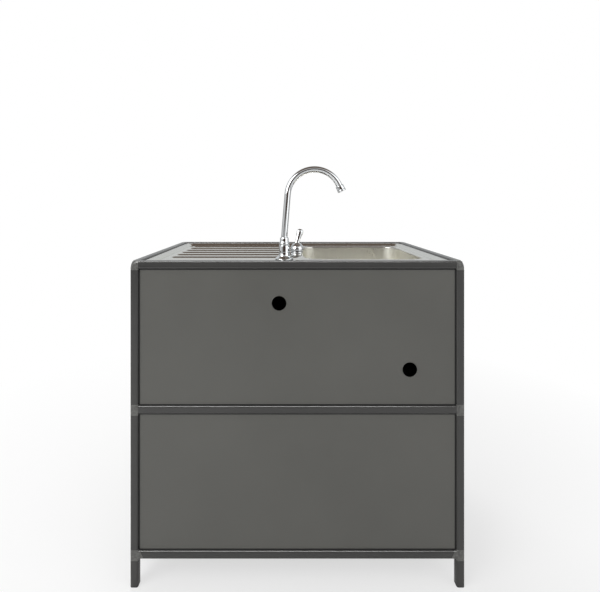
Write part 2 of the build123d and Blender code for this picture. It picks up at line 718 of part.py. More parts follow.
def basket_plug():
    """Lift-out basket with a perforated wall, a floor and a knob."""
    top = BOWL_FLOOR_Z + 0.2
    low = top - BASKET_DEPTH
    wall = BASKET_R - 5
    outline = [
        (0, low), (wall - 2, low), (wall, low + 2), (wall, top - 3.5), (BASKET_R, top - 1.2),
        (BASKET_R, top), (BASKET_R - 2, top), (wall - 1.2, top - 3.2), (wall - 1.2, low + 2.6),
        (wall - 2.6, low + 1.2), (3, low + 1.2), (3, top + 4), (8.5, top + 5.5),
        (9.5, top + 8), (8.5, top + 10.5), (4, top + 12), (0, top + 12),
    ]
    basket = turned(outline)
    step = 360 / BASKET_HOLES
    for row, height in enumerate(BASKET_ROWS):
        for turn in range(BASKET_HOLES):
            angle = step * (turn + 0.5 * (row % 2))
            drill = Pos(wall, 0, low + height) * Rot(0, 90, 0) * Cylinder(BASKET_HOLE_R, 8)
            basket = basket - Rot(0, 0, angle) * drill
    return at_drain(basket)


def waste_body():
    """Plastic body clamped under the bowl, with the tail pipe and an overflow inlet."""
    top = BOWL_FLOOR_Z - STEEL
    low = BOWL_FLOOR_Z - CUP_DEPTH - 6
    foot = TRAP_TOP_Z - TAIL_INSERT
    inner = CUP_R + WASTE_CLEARANCE
    outer = inner + WASTE_WALL
    flange = CUP_R + WASTE_FLANGE + WASTE_CLEARANCE
    outline = [
        (TAIL_R - TAIL_WALL, foot), (TAIL_R, foot), (TAIL_R, low - 12), (TAIL_R + 4, low - 8),
        (inner, low), (outer, low + 4), (outer, top - 6), (flange, top - 5), (flange, top),
        (inner, top), (inner, low + 5), (inner - 3, low + 2.5), (TAIL_R - TAIL_WALL, low - 6),
    ]
    stub = Pos(0, (inner + CUP_R + OVERFLOW_STUB_REACH) / 2, top - OVERFLOW_STUB_DROP) * Rot(90, 0, 0)
    length = CUP_R + OVERFLOW_STUB_REACH - inner
    body = turned(outline) + stub * Cylinder(OVERFLOW_PIPE_R, length)
    return at_drain(body - stub * Cylinder(OVERFLOW_PIPE_R - OVERFLOW_PIPE_WALL, length + 10))


def along_arm(shape, distance):
    """Lays a shape made about Z along the outlet arm, which points at the waste hole."""
    hole_y = BACK - PANEL_RECESS - SHEET / 2
    heading = math.degrees(math.atan2(hole_y - BOWL_Y, WASTE_HOLE[0] - BOWL_X))
    return at_drain(Rot(0, 0, heading) * Pos(distance, 0, TRAP_ARM_Z) * Rot(0, 90, 0) * shape)


def arm_rod(radius, near, far):
    """A round rod along the outlet arm between two distances from the trap's axis."""
    return along_arm(Cylinder(radius, far - near), (near + far) / 2)


def trap_body():
    """Upper half of the bottle trap: a threaded stub for the nut, then the outlet arm."""
    socket = TAIL_R + 0.4
    inside = TRAP_R - TRAP_WALL
    foot = TRAP_TOP_Z - TRAP_SOCKET
    outline = [
        (socket, foot), (TAIL_R + 4, foot), (TAIL_R + 4, TRAP_ARM_Z + 30),
        (TRAP_R, TRAP_ARM_Z + 22), (TRAP_R, TRAP_SPLIT_Z), (inside, TRAP_SPLIT_Z),
        (inside, TRAP_ARM_Z + 20), (socket, TRAP_ARM_Z + 27),
    ]
    chamber = turned(
        [
            (0, TRAP_SPLIT_Z), (inside, TRAP_SPLIT_Z), (inside, TRAP_ARM_Z + 20),
            (socket, TRAP_ARM_Z + 27), (0, TRAP_ARM_Z + 27),
        ]
    )
    stub = arm_rod(TRAP_STUB_R, 0, TRAP_STUB_REACH) - at_drain(chamber)
    arm = arm_rod(TRAP_ARM_R, TRAP_R, TRAP_ARM_REACH)
    bore = arm_rod(TRAP_ARM_R - TRAP_ARM_WALL, 0, TRAP_ARM_REACH + 1)
    return at_drain(turned(outline)) + stub + arm - bore


def trap_cup():
    """Lower cup of the bottle trap, which unscrews for cleaning."""
    top, foot = TRAP_SPLIT_Z, TRAP_FOOT_Z
    rim, inside = TRAP_R + NUT_WALL, TRAP_R - TRAP_WALL - 2
    outline = [
        (0, foot), (TRAP_R - 8, foot), (TRAP_R - 3, foot + 5), (TRAP_R - 2, top - TRAP_THREAD - 1),
        (rim, top - TRAP_THREAD), (rim, top), (inside, top), (inside, top - 20),
        (inside - 1, foot + 7), (inside - 4.5, foot + 3), (0, foot + 3),
    ]
    return at_drain(turned(outline))


def slip_nut(thread_r):
    """A ribbed plastic nut about the Z axis, for a thread of the given radius."""
    bore = thread_r + NUT_CLEARANCE
    nut = Cylinder(bore + NUT_WALL, NUT_HEIGHT)
    for turn in range(NUT_RIBS):
        rib = Pos(bore + NUT_WALL, 0, 0) * Box(NUT_RIB, NUT_RIB, NUT_HEIGHT)
        nut = nut + Rot(0, 0, 360 / NUT_RIBS * turn) * rib
    return nut - Cylinder(bore, NUT_HEIGHT + 2)


def trap_nuts():
    """Slip nuts at the trap's inlet and on its outlet stub."""
    inlet = Pos(0, 0, TRAP_TOP_Z - TRAP_SOCKET + NUT_HEIGHT / 2) * slip_nut(TAIL_R)
    return Compound([at_drain(inlet), along_arm(slip_nut(TRAP_STUB_R), TRAP_STUB_REACH - NUT_HEIGHT / 2)])


# ================================================================== tap
def at_tap(shape):
    """Moves a shape made about the Z axis to the tap's axis."""
    return Pos(TAP_X, TAP_Y, 0) * shape


def at_valve(shape):
    """Moves a shape made about the Z axis to the side valve's axis."""
    return Pos(TAP_X - VALVE_OFFSET, TAP_Y, 0) * shape


def tap_gasket():
    """Rubber ring between the tap and the deck."""
    ring = upright(BASE_R - 1, DECK_Z, DECK_Z + GASKET)
    return at_tap(ring - upright(TAP_HOLE_R, DECK_Z - 1, DECK_Z + GASKET + 1))


def tap_body():
    """One casting: flared base, column, the side valve's housing and the shank."""
    foot = DECK_Z + GASKET
    column = turned(
        [
            (0, foot - SHANK_LENGTH), (SHANK_R, foot - SHANK_LENGTH), (SHANK_R, foot),
            (BASE_R, foot), (BASE_R, foot + 2.5), (BASE_R - 3, foot + 4.5),
            (BASE_R - 7, foot + 6.5), (COLUMN_R + 2, foot + 9.5), (COLUMN_R, foot + 14),
            (COLUMN_R, COLUMN_TOP_Z - 2), (COLUMN_R - 2, COLUMN_TOP_Z), (0, COLUMN_TOP_Z),
        ]
    )
    housing = turned(
        [
            (0, VALVE_FOOT_Z), (9, VALVE_FOOT_Z + 0.3), (13.8, VALVE_FOOT_Z + 1.6),
            (16.6, VALVE_FOOT_Z + 4.2), (17.8, VALVE_FOOT_Z + 7.5), (VALVE_R, VALVE_FOOT_Z + 10),
            (VALVE_R, VALVE_TOP_Z - 1), (VALVE_R - 1, VALVE_TOP_Z), (0, VALVE_TOP_Z),
        ]
    )
    arm = Pos(-VALVE_OFFSET / 2, 0, VALVE_ARM_Z) * Rot(0, 90, 0) * Cylinder(VALVE_ARM_R, VALVE_OFFSET)
    pocket = upright(VALVE_BORE_R, VALVE_FLOOR_Z, VALVE_TOP_Z + 1, -VALVE_OFFSET)
    body = column + Pos(-VALVE_OFFSET, 0, 0) * housing + arm - pocket
    body = body - upright(SPOUT_R + SPOUT_FIT, COLUMN_TOP_Z - SPOUT_SOCKET, COLUMN_TOP_Z + 1)
    body = body - upright(SHANK_R - SHANK_WALL, foot - SHANK_LENGTH - 1, foot - SHANK_CEILING)
    return at_tap(body - upright(WATERWAY_R, foot - SHANK_CEILING - 1, COLUMN_TOP_Z - SPOUT_SOCKET + 1))


def tap_mounting_nut():
    """Washer and hexagon nut that clamp the tap from under the deck."""
    top = DECK_Z - STEEL
    low = top - MOUNT_WASHER - MOUNT_NUT
    washer = upright(MOUNT_WASHER_R, top - MOUNT_WASHER, top)
    hexagon = extrude(Plane(origin=(0, 0, low)) * RegularPolygon(MOUNT_NUT_R, 6), amount=MOUNT_NUT)
    return at_tap(washer + hexagon - upright(SHANK_R + 0.1, low - 1, top + 1))


def tap_inlet_tails():
    """Two rigid inlet pipes that leave the shank and splay apart."""
    high = DECK_Z + GASKET - SHANK_CEILING
    pipes = []
    for hand in HANDS.values():
        near, far = hand * (TAIL_PIPE_R + 0.3), hand * TAIL_SPREAD
        corners = [(near, 0, high), (near, 0, TAIL_BEND_TOP_Z), (far, 0, TAIL_BEND_LOW_Z)]
        path = FilletPolyline(*corners, (far, 0, TAIL_PIPE_LOW_Z), radius=TAIL_BEND_R)
        start = Plane(origin=(near, 0, high), z_dir=(0, 0, -1))
        pipe = sweep(start * Circle(TAIL_PIPE_R), path=path)
        bore = sweep(start * Circle(TAIL_PIPE_R - TAIL_PIPE_WALL), path=path)
        pipes.append(at_tap(pipe - bore))
    return Compound(pipes)


def tap_spout_collar():
    """Collar that keeps the swivelling spout in the column."""
    low, high = COLUMN_TOP_Z, COLLAR_TOP_Z
    bore = SPOUT_R + SPOUT_FIT
    outline = [
        (bore, low), (COLUMN_R - 1.5, low), (COLUMN_R - 0.5, low + 2), (COLUMN_R - 0.5, low + 6),
        (COLUMN_R - 2.5, low + 9), (COLUMN_R - 3, high - 5), (COLUMN_R - 4.5, high), (bore, high),
    ]
    return at_tap(turned(outline))


def spout_corners():
    """Foot, bend, tangent point and top of the spout's centre line, in the XZ plane."""
    lean = math.radians(SPOUT_LEAN)
    arc_z = SPOUT_TOP_Z - SPOUT_R - SPOUT_ARC_R
    bend_z = COLLAR_TOP_Z + SPOUT_BEND_RISE
    tangent_z = arc_z + SPOUT_ARC_R * math.sin(lean)
    tangent_x = -(tangent_z - bend_z) * math.tan(lean)
    arc_x = tangent_x - SPOUT_ARC_R * math.cos(lean)
    foot = Vector(0, 0, COLUMN_TOP_Z - SPOUT_SOCKET + 0.5)
    return foot, Vector(0, 0, bend_z), Vector(tangent_x, 0, tangent_z), Vector(arc_x, 0, arc_z)


def spout_tip():
    """Where the spout's arc ends, and its direction there."""
    end = math.radians(SPOUT_END_ANGLE)
    centre = spout_corners()[3]
    spot = centre + Vector(-math.cos(end), 0, math.sin(end)) * SPOUT_ARC_R
    return spot, Vector(-math.sin(end), 0, -math.cos(end))


def tap_spout():
    """Bent tube: straight shank, a slight lean, one arc over the top and a straight tip."""
    foot, bend, tangent, centre = spout_corners()
    spot, heading = spout_tip()
    riser = FilletPolyline(foot, bend, tangent, radius=SPOUT_BEND_R)
    arc = ThreePointArc(tangent, centre + Vector(0, 0, SPOUT_ARC_R), spot)
    path = Wire([*riser.edges(), arc, Line(spot, spot + heading * SPOUT_TIP)])
    start = Plane(origin=foot, z_dir=(0, 0, 1))
    outside = sweep(start * Circle(SPOUT_R), path=path)
    return at_tap(outside - sweep(start * Circle(SPOUT_BORE_R), path=path))


def tap_aerator():
    """Threaded nozzle over the spout's tip, with a perforated disc inside."""
    spot, heading = spout_tip()
    start = spot + heading * (SPOUT_TIP - AERATOR_OVERLAP)
    length = AERATOR_LENGTH
    bore = SPOUT_R + SPOUT_FIT
    outline = [
        (bore, 0), (AERATOR_R - 1, 0), (AERATOR_R, 1.5), (AERATOR_R, length - 6),
        (AERATOR_R + 0.6, length - 5), (AERATOR_R + 0.6, length - 1), (AERATOR_R, length),
        (AERATOR_R - 2.5, length), (AERATOR_R - 2.5, length - 4), (0, length - 4),
        (0, length - 6), (SPOUT_BORE_R, length - 6), (SPOUT_BORE_R, AERATOR_OVERLAP + 0.2),
        (bore, AERATOR_OVERLAP + 0.2),
    ]
    nozzle = turned(outline)
    for ring, count in ((3.0, 6), (6.0, 12)):
        for turn in range(count):
            drill = upright(AERATOR_HOLE_R, length - 7, length - 3, ring)
            nozzle = nozzle - Rot(0, 0, 360 / count * turn) * drill
    return at_tap(Plane(origin=start, x_dir=(0, 1, 0), z_dir=heading) * nozzle)


def tap_cartridge():
    """Ceramic cartridge body pressed into the side valve's housing."""
    inside = VALVE_FLOOR_Z + CARTRIDGE_FLOOR
    high = VALVE_TOP_Z + CARTRIDGE_RISE
    outline = [
        (0, VALVE_FLOOR_Z), (VALVE_BORE_R, VALVE_FLOOR_Z), (VALVE_BORE_R, high),
        (CARTRIDGE_BORE_R, high), (CARTRIDGE_BORE_R, inside), (0, inside),
    ]
    return at_valve(turned(outline))


def tap_valve_yoke():
    """Disc that turns in the cartridge and carries the lever's cross pin."""
    low = VALVE_FLOOR_Z + CARTRIDGE_FLOOR + 0.1
    across = Pos(0, 0, LEVER_PIVOT_Z) * Rot(0, 90, 0)
    inner = LUG_HALF + LUG_GAP
    outer = inner + YOKE_EAR
    yoke = upright(CARTRIDGE_BORE_R - YOKE_FIT, low, low + YOKE_DISC)
    for hand in HANDS.values():
        ear = block(hand * inner, hand * outer, -YOKE_EAR_R, YOKE_EAR_R, low + 1, LEVER_PIVOT_Z)
        round_end = Pos(hand * (inner + outer) / 2, 0, 0) * across * Cylinder(YOKE_EAR_R, YOKE_EAR)
        yoke = yoke + ear + round_end
    return at_valve(yoke + across * Cylinder(LEVER_PIN_R, inner + outer))


def cap_form(inset):
    """The cap's outer form as a solid, or its hollow when inset by the wall."""
    radius, crown = CAP_R - inset, CAP_CROWN_Z - inset
    rise = crown - CAP_SHOULDER_Z
    ball = (radius**2 + rise**2) / (2 * rise)
    dome = Pos(0, 0, crown - ball) * Sphere(ball)
    dome = dome & upright(radius, CAP_SHOULDER_Z, crown + 1)
    return dome + upright(radius, CAP_SKIRT_Z, CAP_SHOULDER_Z)


def tap_lever_cap():
    """Domed cap with a skirt, and the lug inside that rocks on the cross pin."""
    across = Pos(0, 0, LEVER_PIVOT_Z) * Rot(0, 90, 0)
    lug = block(-LUG_HALF, LUG_HALF, -YOKE_EAR_R, YOKE_EAR_R, LEVER_PIVOT_Z, CAP_CROWN_Z - CAP_WALL)
    lug = lug + across * Cylinder(YOKE_EAR_R, 2 * LUG_HALF)
    cap = cap_form(0) - cap_form(CAP_WALL) + lug
    return at_valve(cap - across * Cylinder(LEVER_PIN_R + LEVER_PIN_FIT, CAP_R))


def tap_lever():
    """Teardrop handle that stands on the cap and leans away from the column."""
    top, foot = (0, 0, LEVER_LENGTH), (0, 0, -2)
    side = Spline(
        (7.8, 0, -2), (6.7, 0, 6), (6.8, 0, 14), (8.3, 0, 24), (9.9, 0, 33.5), (7.6, 0, 41.4), top,
        tangents=[(-0.3, 0, 1), (-1, 0, 0)],
    )
    half = make_face([side, Line(top, foot), Line(foot, (7.8, 0, -2))])
    handle = scale(revolve(half, Axis.Z), by=(1, LEVER_FLATTENING, 1))
    handle = Pos(0, 0, CAP_CROWN_Z - 2) * Rot(LEVER_FORWARD, -LEVER_LEAN, 0) * handle
    return at_valve(handle - cap_form(0))


# ================================================================== all pieces
def pieces():
    """Every named piece of the unit."""
    parts = {}
    for row, y in POST_Y.items():
        for name, hand in HANDS.items():
            parts[f"post_{row}_{name}"] = post(hand * POST_X, y)
    for level in LEVEL_Z:
        for row in POST_Y:
            parts[f"{level}_rail_{row}"] = long_rail(row, level)
        for name, hand in HANDS.items():
            parts[f"{level}_rail_{name}"] = side_rail(hand, level)
        parts[f"{level}_connectors"] = connectors(level)
    parts["foot_caps"] = foot_caps()
    for bay in BAY_Z:
        parts[f"back_panel_{bay}"] = back_panel(bay)
        for name, hand in HANDS.items():
            parts[f"{name}_panel_{bay}"] = side_panel(hand, bay)
            parts[f"door_{bay}_{name}"] = door(hand, bay)
            parts[f"knob_{bay}_{name}"] = knob(hand, bay)
    parts["middle_shelf"] = tray("middle")
    parts["floor_panel"] = tray("bottom")
    single = [
        panel_clips, door_pivots, door_catches, sink_deck, sink_bowl, sink_supports,
        overflow_fitting, strainer_cup, basket_plug, waste_body, trap_body, trap_cup, trap_nuts,
        tap_gasket, tap_body, tap_mounting_nut, tap_inlet_tails, tap_spout_collar, tap_spout,
        tap_aerator, tap_cartridge, tap_valve_yoke, tap_lever_cap, tap_lever,
    ]
    for make in single:
        parts[make.__name__] = make()
    return parts


def main():
    os.makedirs("parts", exist_ok=True)
    parts = pieces()
    for name, shape in parts.items():
        export_step(shape, f"parts/{name}.step")
    print(len(parts), "pieces written")


main()
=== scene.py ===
# %% [markdown]
# # A kitchen sink unit, dressed
# The solid pieces of the unit come in as a fixed frame: tubes, sheets, sink and
# tap, all at their real size in metres. This lesson gives each of them its
# finish, remodels the polished pieces that need smooth curves, and sets up a
# plain studio round them. Nothing in the frame is moved.

# %% Load the frame
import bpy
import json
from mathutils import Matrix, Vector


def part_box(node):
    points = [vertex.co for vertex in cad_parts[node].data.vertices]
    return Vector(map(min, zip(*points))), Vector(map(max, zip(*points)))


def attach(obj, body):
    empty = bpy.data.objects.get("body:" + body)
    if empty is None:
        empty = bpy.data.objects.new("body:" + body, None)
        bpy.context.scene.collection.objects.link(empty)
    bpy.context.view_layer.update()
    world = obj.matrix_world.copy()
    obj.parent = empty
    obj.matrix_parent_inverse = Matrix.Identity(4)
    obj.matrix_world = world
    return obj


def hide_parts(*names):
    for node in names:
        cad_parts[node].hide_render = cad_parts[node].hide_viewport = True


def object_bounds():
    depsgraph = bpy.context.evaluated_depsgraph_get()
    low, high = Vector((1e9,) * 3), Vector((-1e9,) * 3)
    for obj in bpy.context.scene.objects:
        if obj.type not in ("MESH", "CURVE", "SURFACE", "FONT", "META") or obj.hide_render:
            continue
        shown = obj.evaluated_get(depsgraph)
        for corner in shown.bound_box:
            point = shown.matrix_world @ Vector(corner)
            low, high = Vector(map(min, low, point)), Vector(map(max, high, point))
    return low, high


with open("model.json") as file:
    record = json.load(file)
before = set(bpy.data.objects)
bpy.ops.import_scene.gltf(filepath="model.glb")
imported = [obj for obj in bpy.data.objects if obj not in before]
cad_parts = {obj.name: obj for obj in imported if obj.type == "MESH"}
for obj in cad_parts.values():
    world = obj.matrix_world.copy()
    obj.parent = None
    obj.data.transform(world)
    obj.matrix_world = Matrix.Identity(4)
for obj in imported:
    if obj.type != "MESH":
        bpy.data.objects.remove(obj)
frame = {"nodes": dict(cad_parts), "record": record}        # bodies, nodes, joints and record
CAD_BOX = [[float(v) for v in corner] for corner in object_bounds()]
print(len(frame["nodes"]), "pieces in the frame, box", CAD_BOX)

# %% Look up what each piece rides on and is finished in
import json
import math

import bpy
from mathutils import Vector

MM = 0.001
NODES = frame["nodes"]
SLOTS = {part["node"]: part["material_slot"] for part in frame["record"]["subparts"]}
BODIES = frame["record"]["behaviour"]["bodies"]
BODY_OF = {node: body for body, members in BODIES.items() for node in members}
print(len(BODIES), "bodies and", len(set(SLOTS.values())), "finishes to give")

# %% [markdown]
# ## The camera
# The photograph looks level and square at the unit's back, from just above the
# tap's base, so upright edges stay parallel and the sink's top is a thin sliver.
# A level camera with a lens shift does that, where a tilted one would make the
# posts lean. The unit is framed slightly smaller and lower than in the photograph,
# which needs less shift. A turned camera keeps the shift, and would cut the tap off.

# %% Place the camera
FRAME_WIDTH_PX, FRAME_HEIGHT_PX = 600, 592
SENSOR_MM = 36.0
FOCAL_PX = 455.0            # of the photograph's own lens
ZOOM = 0.87                 # of the photograph's size
CAMERA_BEHIND = 1.0897      # metres from the unit's back
CAMERA_X = 0.036
CAMERA_HEIGHT = 1.0562
UNIT_CENTRE_PX = 298.0      # across the picture
SQUARE_ON_PX = 282.3        # across the picture, straight ahead of the lens
FEET_PX = 588.0             # down the picture
focal = FOCAL_PX * ZOOM
horizon_px = FEET_PX - focal * CAMERA_HEIGHT / CAMERA_BEHIND
across_px = UNIT_CENTRE_PX - ZOOM * (UNIT_CENTRE_PX - SQUARE_ON_PX)

camera_data = bpy.data.cameras.new("camera")
camera_data.sensor_width = SENSOR_MM
camera_data.lens = SENSOR_MM * focal / FRAME_WIDTH_PX
camera_data.shift_x = (FRAME_WIDTH_PX / 2 - across_px) / FRAME_WIDTH_PX
camera_data.shift_y = (horizon_px - FRAME_HEIGHT_PX / 2) / FRAME_WIDTH_PX
camera = bpy.data.objects.new("camera", camera_data)
camera.location = (CAMERA_X, CAD_BOX[1][1] + CAMERA_BEHIND, CAMERA_HEIGHT)
camera.rotation_euler = (math.radians(90), 0, math.radians(180))
bpy.context.scene.collection.objects.link(camera)
bpy.context.scene.camera = camera
bpy.context.scene.view_settings.view_transform = "Standard"
print("lens", round(camera_data.lens, 2), "shift", round(camera_data.shift_y, 3))

# %% [markdown]
# ## Node helpers
# Every finish, and the room itself, is a tree of nodes. The same few steps come
# back in all of them: start a material, add a node, grade a value. Each is a short
# function, so that a finish reads as what it is and not as wiring.

# %% Helpers for node trees
def new_material(name):
    """A new node material, with its tree and its shader."""
    material = bpy.data.materials.new(name)
    material.use_nodes = True
    return material, material.node_tree, material.node_tree.nodes["Principled BSDF"]


def add(tree, kind, **settings):
    """Adds one node and sets its plain properties."""
    node = tree.nodes.new(kind)
    for key, value in settings.items():
        setattr(node, key, value)
    return node


def ramp(tree, source, stops):
    """A smooth ramp on a value, from (position, grey or colour) stops."""
    node = add(tree, "ShaderNodeValToRGB")
    elements = node.color_ramp.elements
    for index, (position, shade) in enumerate(stops):
        element = elements[index] if index < 2 else elements.new(position)
        element.position = position
        element.color = (*shade, 1) if isinstance(shade, tuple) else (shade, shade, shade, 1)
    tree.links.new(source, node.inputs["Fac"])
    return node.outputs["Color"]


def map_range(tree, source, low, high, to_low, to_high):
    """Maps one range of a value to another."""
    node = add(tree, "ShaderNodeMapRange")
    for socket, value in zip(node.inputs[1:5], (low, high, to_low, to_high)):
        socket.default_value = value
    tree.links.new(source, node.inputs["Value"])
    return node.outputs["Result"]


print("node helpers ready")

# %% [markdown]
# ## The studio
# The photograph is a cut-out on white. Polished metal looks like metal only when
# it has dark things as well as bright ones to reflect, so the world is white to
# the camera and a graded room to reflections. A dim wall beyond the unit greys the
# tap's outline. Bright walls stand at both sides. A dark strip behind the camera
# draws the dark core along the tap's tube. The ceiling is bright, but dark straight
# above, which draws the dark line along each drainer channel's wall. Beyond the
# unit the brightness starts just above the horizon, where the flat of the sink
# looks, and below it the wall stays dim.

# %% Shades of the room
# the walls, from beyond the unit (0) round to the camera's side (1)
WALL_SHADES = [
    (0.0, 0.34), (0.36, 0.32), (0.46, 0.70), (0.66, 0.80), (0.76, 0.46), (0.9, 0.40),
    (0.955, (0.085, 0.060, 0.048)), (1.0, (0.050, 0.032, 0.024)),
]
# the ceiling, from the horizon (0) to straight overhead (1)
CEILING_SHADES = [
    (0.0, (0.66, 0.67, 0.67)), (0.62, (0.72, 0.75, 0.77)),
    (0.78, (0.20, 0.155, 0.125)), (1.0, (0.13, 0.10, 0.08)),
]
# the plain room that lights matt surfaces, from the floor (0) to overhead (1)
SOFT_SHADES = [(0.0, 0.8), (0.5, 0.6), (1.0, 1.0)]
SOFT_ROOM, SHARP_ROOM, WHITE_ROOM = 0.54, 1.0, 1.0
# a direction's parts run from -1 to 1: these are where the ceiling fades in, and
# where the bright panel beyond the unit does, upwards and towards the camera
CEILING_FADE = (0.35, 0.75)
PANEL_FADE_UP, PANEL_FADE_NEAR = (0.03, 0.12), (-0.7, -0.5)
print("room has", len(WALL_SHADES), "shades round its walls and", len(CEILING_SHADES), "above")

# %% The room that polished metal reflects
world = bpy.data.worlds.new("studio_world")
bpy.context.scene.world = world
world.use_nodes = True
tree = world.node_tree
direction = add(tree, "ShaderNodeTexCoord")
split = add(tree, "ShaderNodeSeparateXYZ")
tree.links.new(direction.outputs["Generated"], split.inputs[0])
nearer, upward = split.outputs["Y"], split.outputs["Z"]
walls = ramp(tree, map_range(tree, nearer, -1, 1, 0, 1), WALL_SHADES)
panel = add(tree, "ShaderNodeMath", operation="MULTIPLY")
tree.links.new(map_range(tree, upward, *PANEL_FADE_UP, 0, 1), panel.inputs[0])
tree.links.new(map_range(tree, nearer, *PANEL_FADE_NEAR, 1, 0), panel.inputs[1])
ceiling = add(tree, "ShaderNodeMath", operation="MAXIMUM")
tree.links.new(map_range(tree, upward, *CEILING_FADE, 0, 1), ceiling.inputs[0])
tree.links.new(panel.outputs[0], ceiling.inputs[1])
sharp = add(tree, "ShaderNodeMix", data_type="RGBA")
tree.links.new(ceiling.outputs[0], sharp.inputs[0])
tree.links.new(walls, sharp.inputs[6])
tree.links.new(ramp(tree, map_range(tree, upward, 0, 1, 0, 1), CEILING_SHADES), sharp.inputs[7])
grade = ramp(tree, map_range(tree, upward, -1, 1, 0, 1), SOFT_SHADES)
print(len(tree.nodes), "nodes shade the room")

# %% Give each kind of ray its room
rooms = []
for colour, strength in ((grade, SOFT_ROOM), (sharp.outputs[2], SHARP_ROOM), (None, WHITE_ROOM)):
    room = add(tree, "ShaderNodeBackground")
    room.inputs["Strength"].default_value = strength
    room.inputs["Color"].default_value = (1, 1, 1, 1)
    if colour:
        tree.links.new(colour, room.inputs["Color"])
    rooms.append(room.outputs[0])
rays = add(tree, "ShaderNodeLightPath")
seen = add(tree, "ShaderNodeMath", operation="MAXIMUM")
tree.links.new(rays.outputs["Is Camera Ray"], seen.inputs[0])
tree.links.new(rays.outputs["Is Transmission Ray"], seen.inputs[1])
shown = rooms[0]
for switch, room in ((rays.outputs["Is Glossy Ray"], rooms[1]), (seen.outputs[0], rooms[2])):
    choose = add(tree, "ShaderNodeMixShader")
    tree.links.new(switch, choose.inputs["Fac"])
    tree.links.new(shown, choose.inputs[1])
    tree.links.new(room, choose.inputs[2])
    shown = choose.outputs[0]
tree.links.new(shown, tree.nodes["World Output"].inputs["Surface"])
print(len(rooms), "rooms: for light, for reflections and for the camera")

# %% [markdown]
# The lamps are large and soft. A long strip hangs over the back rail, only for
# reflections: it draws the bright line along the rounded edge of each rail. It
# shines on a list of pieces, which leaves out the drainer, whose channels would
# lose their dark lines, and the tap, whose chrome would burn out. The lamp on the
# doors' side isn't reflected at all, because it would burn a hole into the drainer.

# %% Lamps
def area_lamp(name, place, target, size, watts, reflected=True, lights=True):
    """A rectangular soft lamp that faces a target; size is (across, along)."""
    data = bpy.data.lights.new(name, "AREA")
    data.shape = "RECTANGLE"
    data.size, data.size_y = size
    data.energy = watts
    lamp = bpy.data.objects.new(name, data)
    lamp.location = place
    aim = Vector(target) - Vector(place)
    lamp.rotation_euler = aim.to_track_quat("-Z", "Y").to_euler()
    lamp.visible_glossy = reflected
    lamp.visible_diffuse = lights
    bpy.context.scene.collection.objects.link(lamp)
    return lamp


MIDDLE = (0, 0, 0.55)
OVER_BACK_RAIL, BACK_RAIL = (0.3, 1.1, 2.9), (0.1, 0.29, 0.7)
area_lamp("key_lamp", (2.5, 2.2, 2.5), MIDDLE, size=(2.2, 2.2), watts=64)
area_lamp("fill_lamp", (-2.7, 2.2, 1.9), MIDDLE, size=(3.2, 3.2), watts=31)
strip = area_lamp("strip_lamp", OVER_BACK_RAIL, BACK_RAIL, size=(3.2, 0.9), watts=130, lights=False)
SHEEN_PIECES = bpy.data.collections.new("sheen_pieces")
strip.light_linking.receiver_collection = SHEEN_PIECES
area_lamp("front_lamp", (0.8, -2.6, 2.6), MIDDLE, size=(2.2, 2.2), watts=62, reflected=False)
print("four lamps, of which", strip.name, "shines only on the pieces in", SHEEN_PIECES.name)

# %% [markdown]
# The floor is pale paint. To the camera it also glows, faintly beside the unit and
# fully further out. So it runs into the white background with no horizon, and
# still carries the soft shadow of the feet.

# %% Floor
FLOOR_SIZE = 60.0
FLOOR_GREY, FLOOR_ROUGHNESS = 0.86, 0.85
NEAR_GLOW, FAR_GLOW = 0.62, 1.0
GLOW_FROM, GLOW_TO = 0.6, 1.9
bpy.ops.object.select_all(action="DESELECT")
bpy.ops.mesh.primitive_plane_add(size=FLOOR_SIZE, location=(0, 0, 0))
floor = bpy.context.active_object
floor.name = "floor"
material, tree, shader = new_material("floor_paint")
shader.inputs["Base Color"].default_value = (FLOOR_GREY, FLOOR_GREY, FLOOR_GREY, 1)
shader.inputs["Roughness"].default_value = FLOOR_ROUGHNESS
coords = add(tree, "ShaderNodeTexCoord")
away = add(tree, "ShaderNodeVectorMath", operation="LENGTH")
tree.links.new(coords.outputs["Object"], away.inputs[0])
glow_share = map_range(tree, away.outputs["Value"], GLOW_FROM, GLOW_TO, NEAR_GLOW, FAR_GLOW)
rays = add(tree, "ShaderNodeLightPath")
share = add(tree, "ShaderNodeMath", operation="MULTIPLY")
tree.links.new(glow_share, share.inputs[0])
tree.links.new(rays.outputs["Is Camera Ray"], share.inputs[1])
glow = add(tree, "ShaderNodeEmission")
blend = add(tree, "ShaderNodeMixShader")
tree.links.new(share.outputs[0], blend.inputs["Fac"])
tree.links.new(shader.outputs[0], blend.inputs[1])
tree.links.new(glow.outputs[0], blend.inputs[2])
tree.links.new(blend.outputs[0], tree.nodes["Material Output"].inputs["Surface"])
floor.data.materials.append(material)
print("floor of", FLOOR_SIZE, "metres")

# %% [markdown]
# ## Finishes
# Powder coat is a thick baked paint. Close up it has a faint orange-peel surface,
# and its gloss drifts a little over a large sheet. The colour drifts too, in soft
# clouds about 30 cm across, as the photograph's sheets show. All of it comes from
# noise in object coordinates, so the pattern has a real size in metres and stays
# put. The cast corners are mottled instead, in patches of about 5 mm, as paint over
# rough metal is. Moulded plastic and rubber are made the same way, only duller.

# %% Powder coat, plastic and rubber
CLOUD_LOW, CLOUD_HIGH = 0.3, 0.7    # the span that noise mostly keeps to
GLOSS_DRIFT = 0.04
PEEL_DEPTH = 0.0004


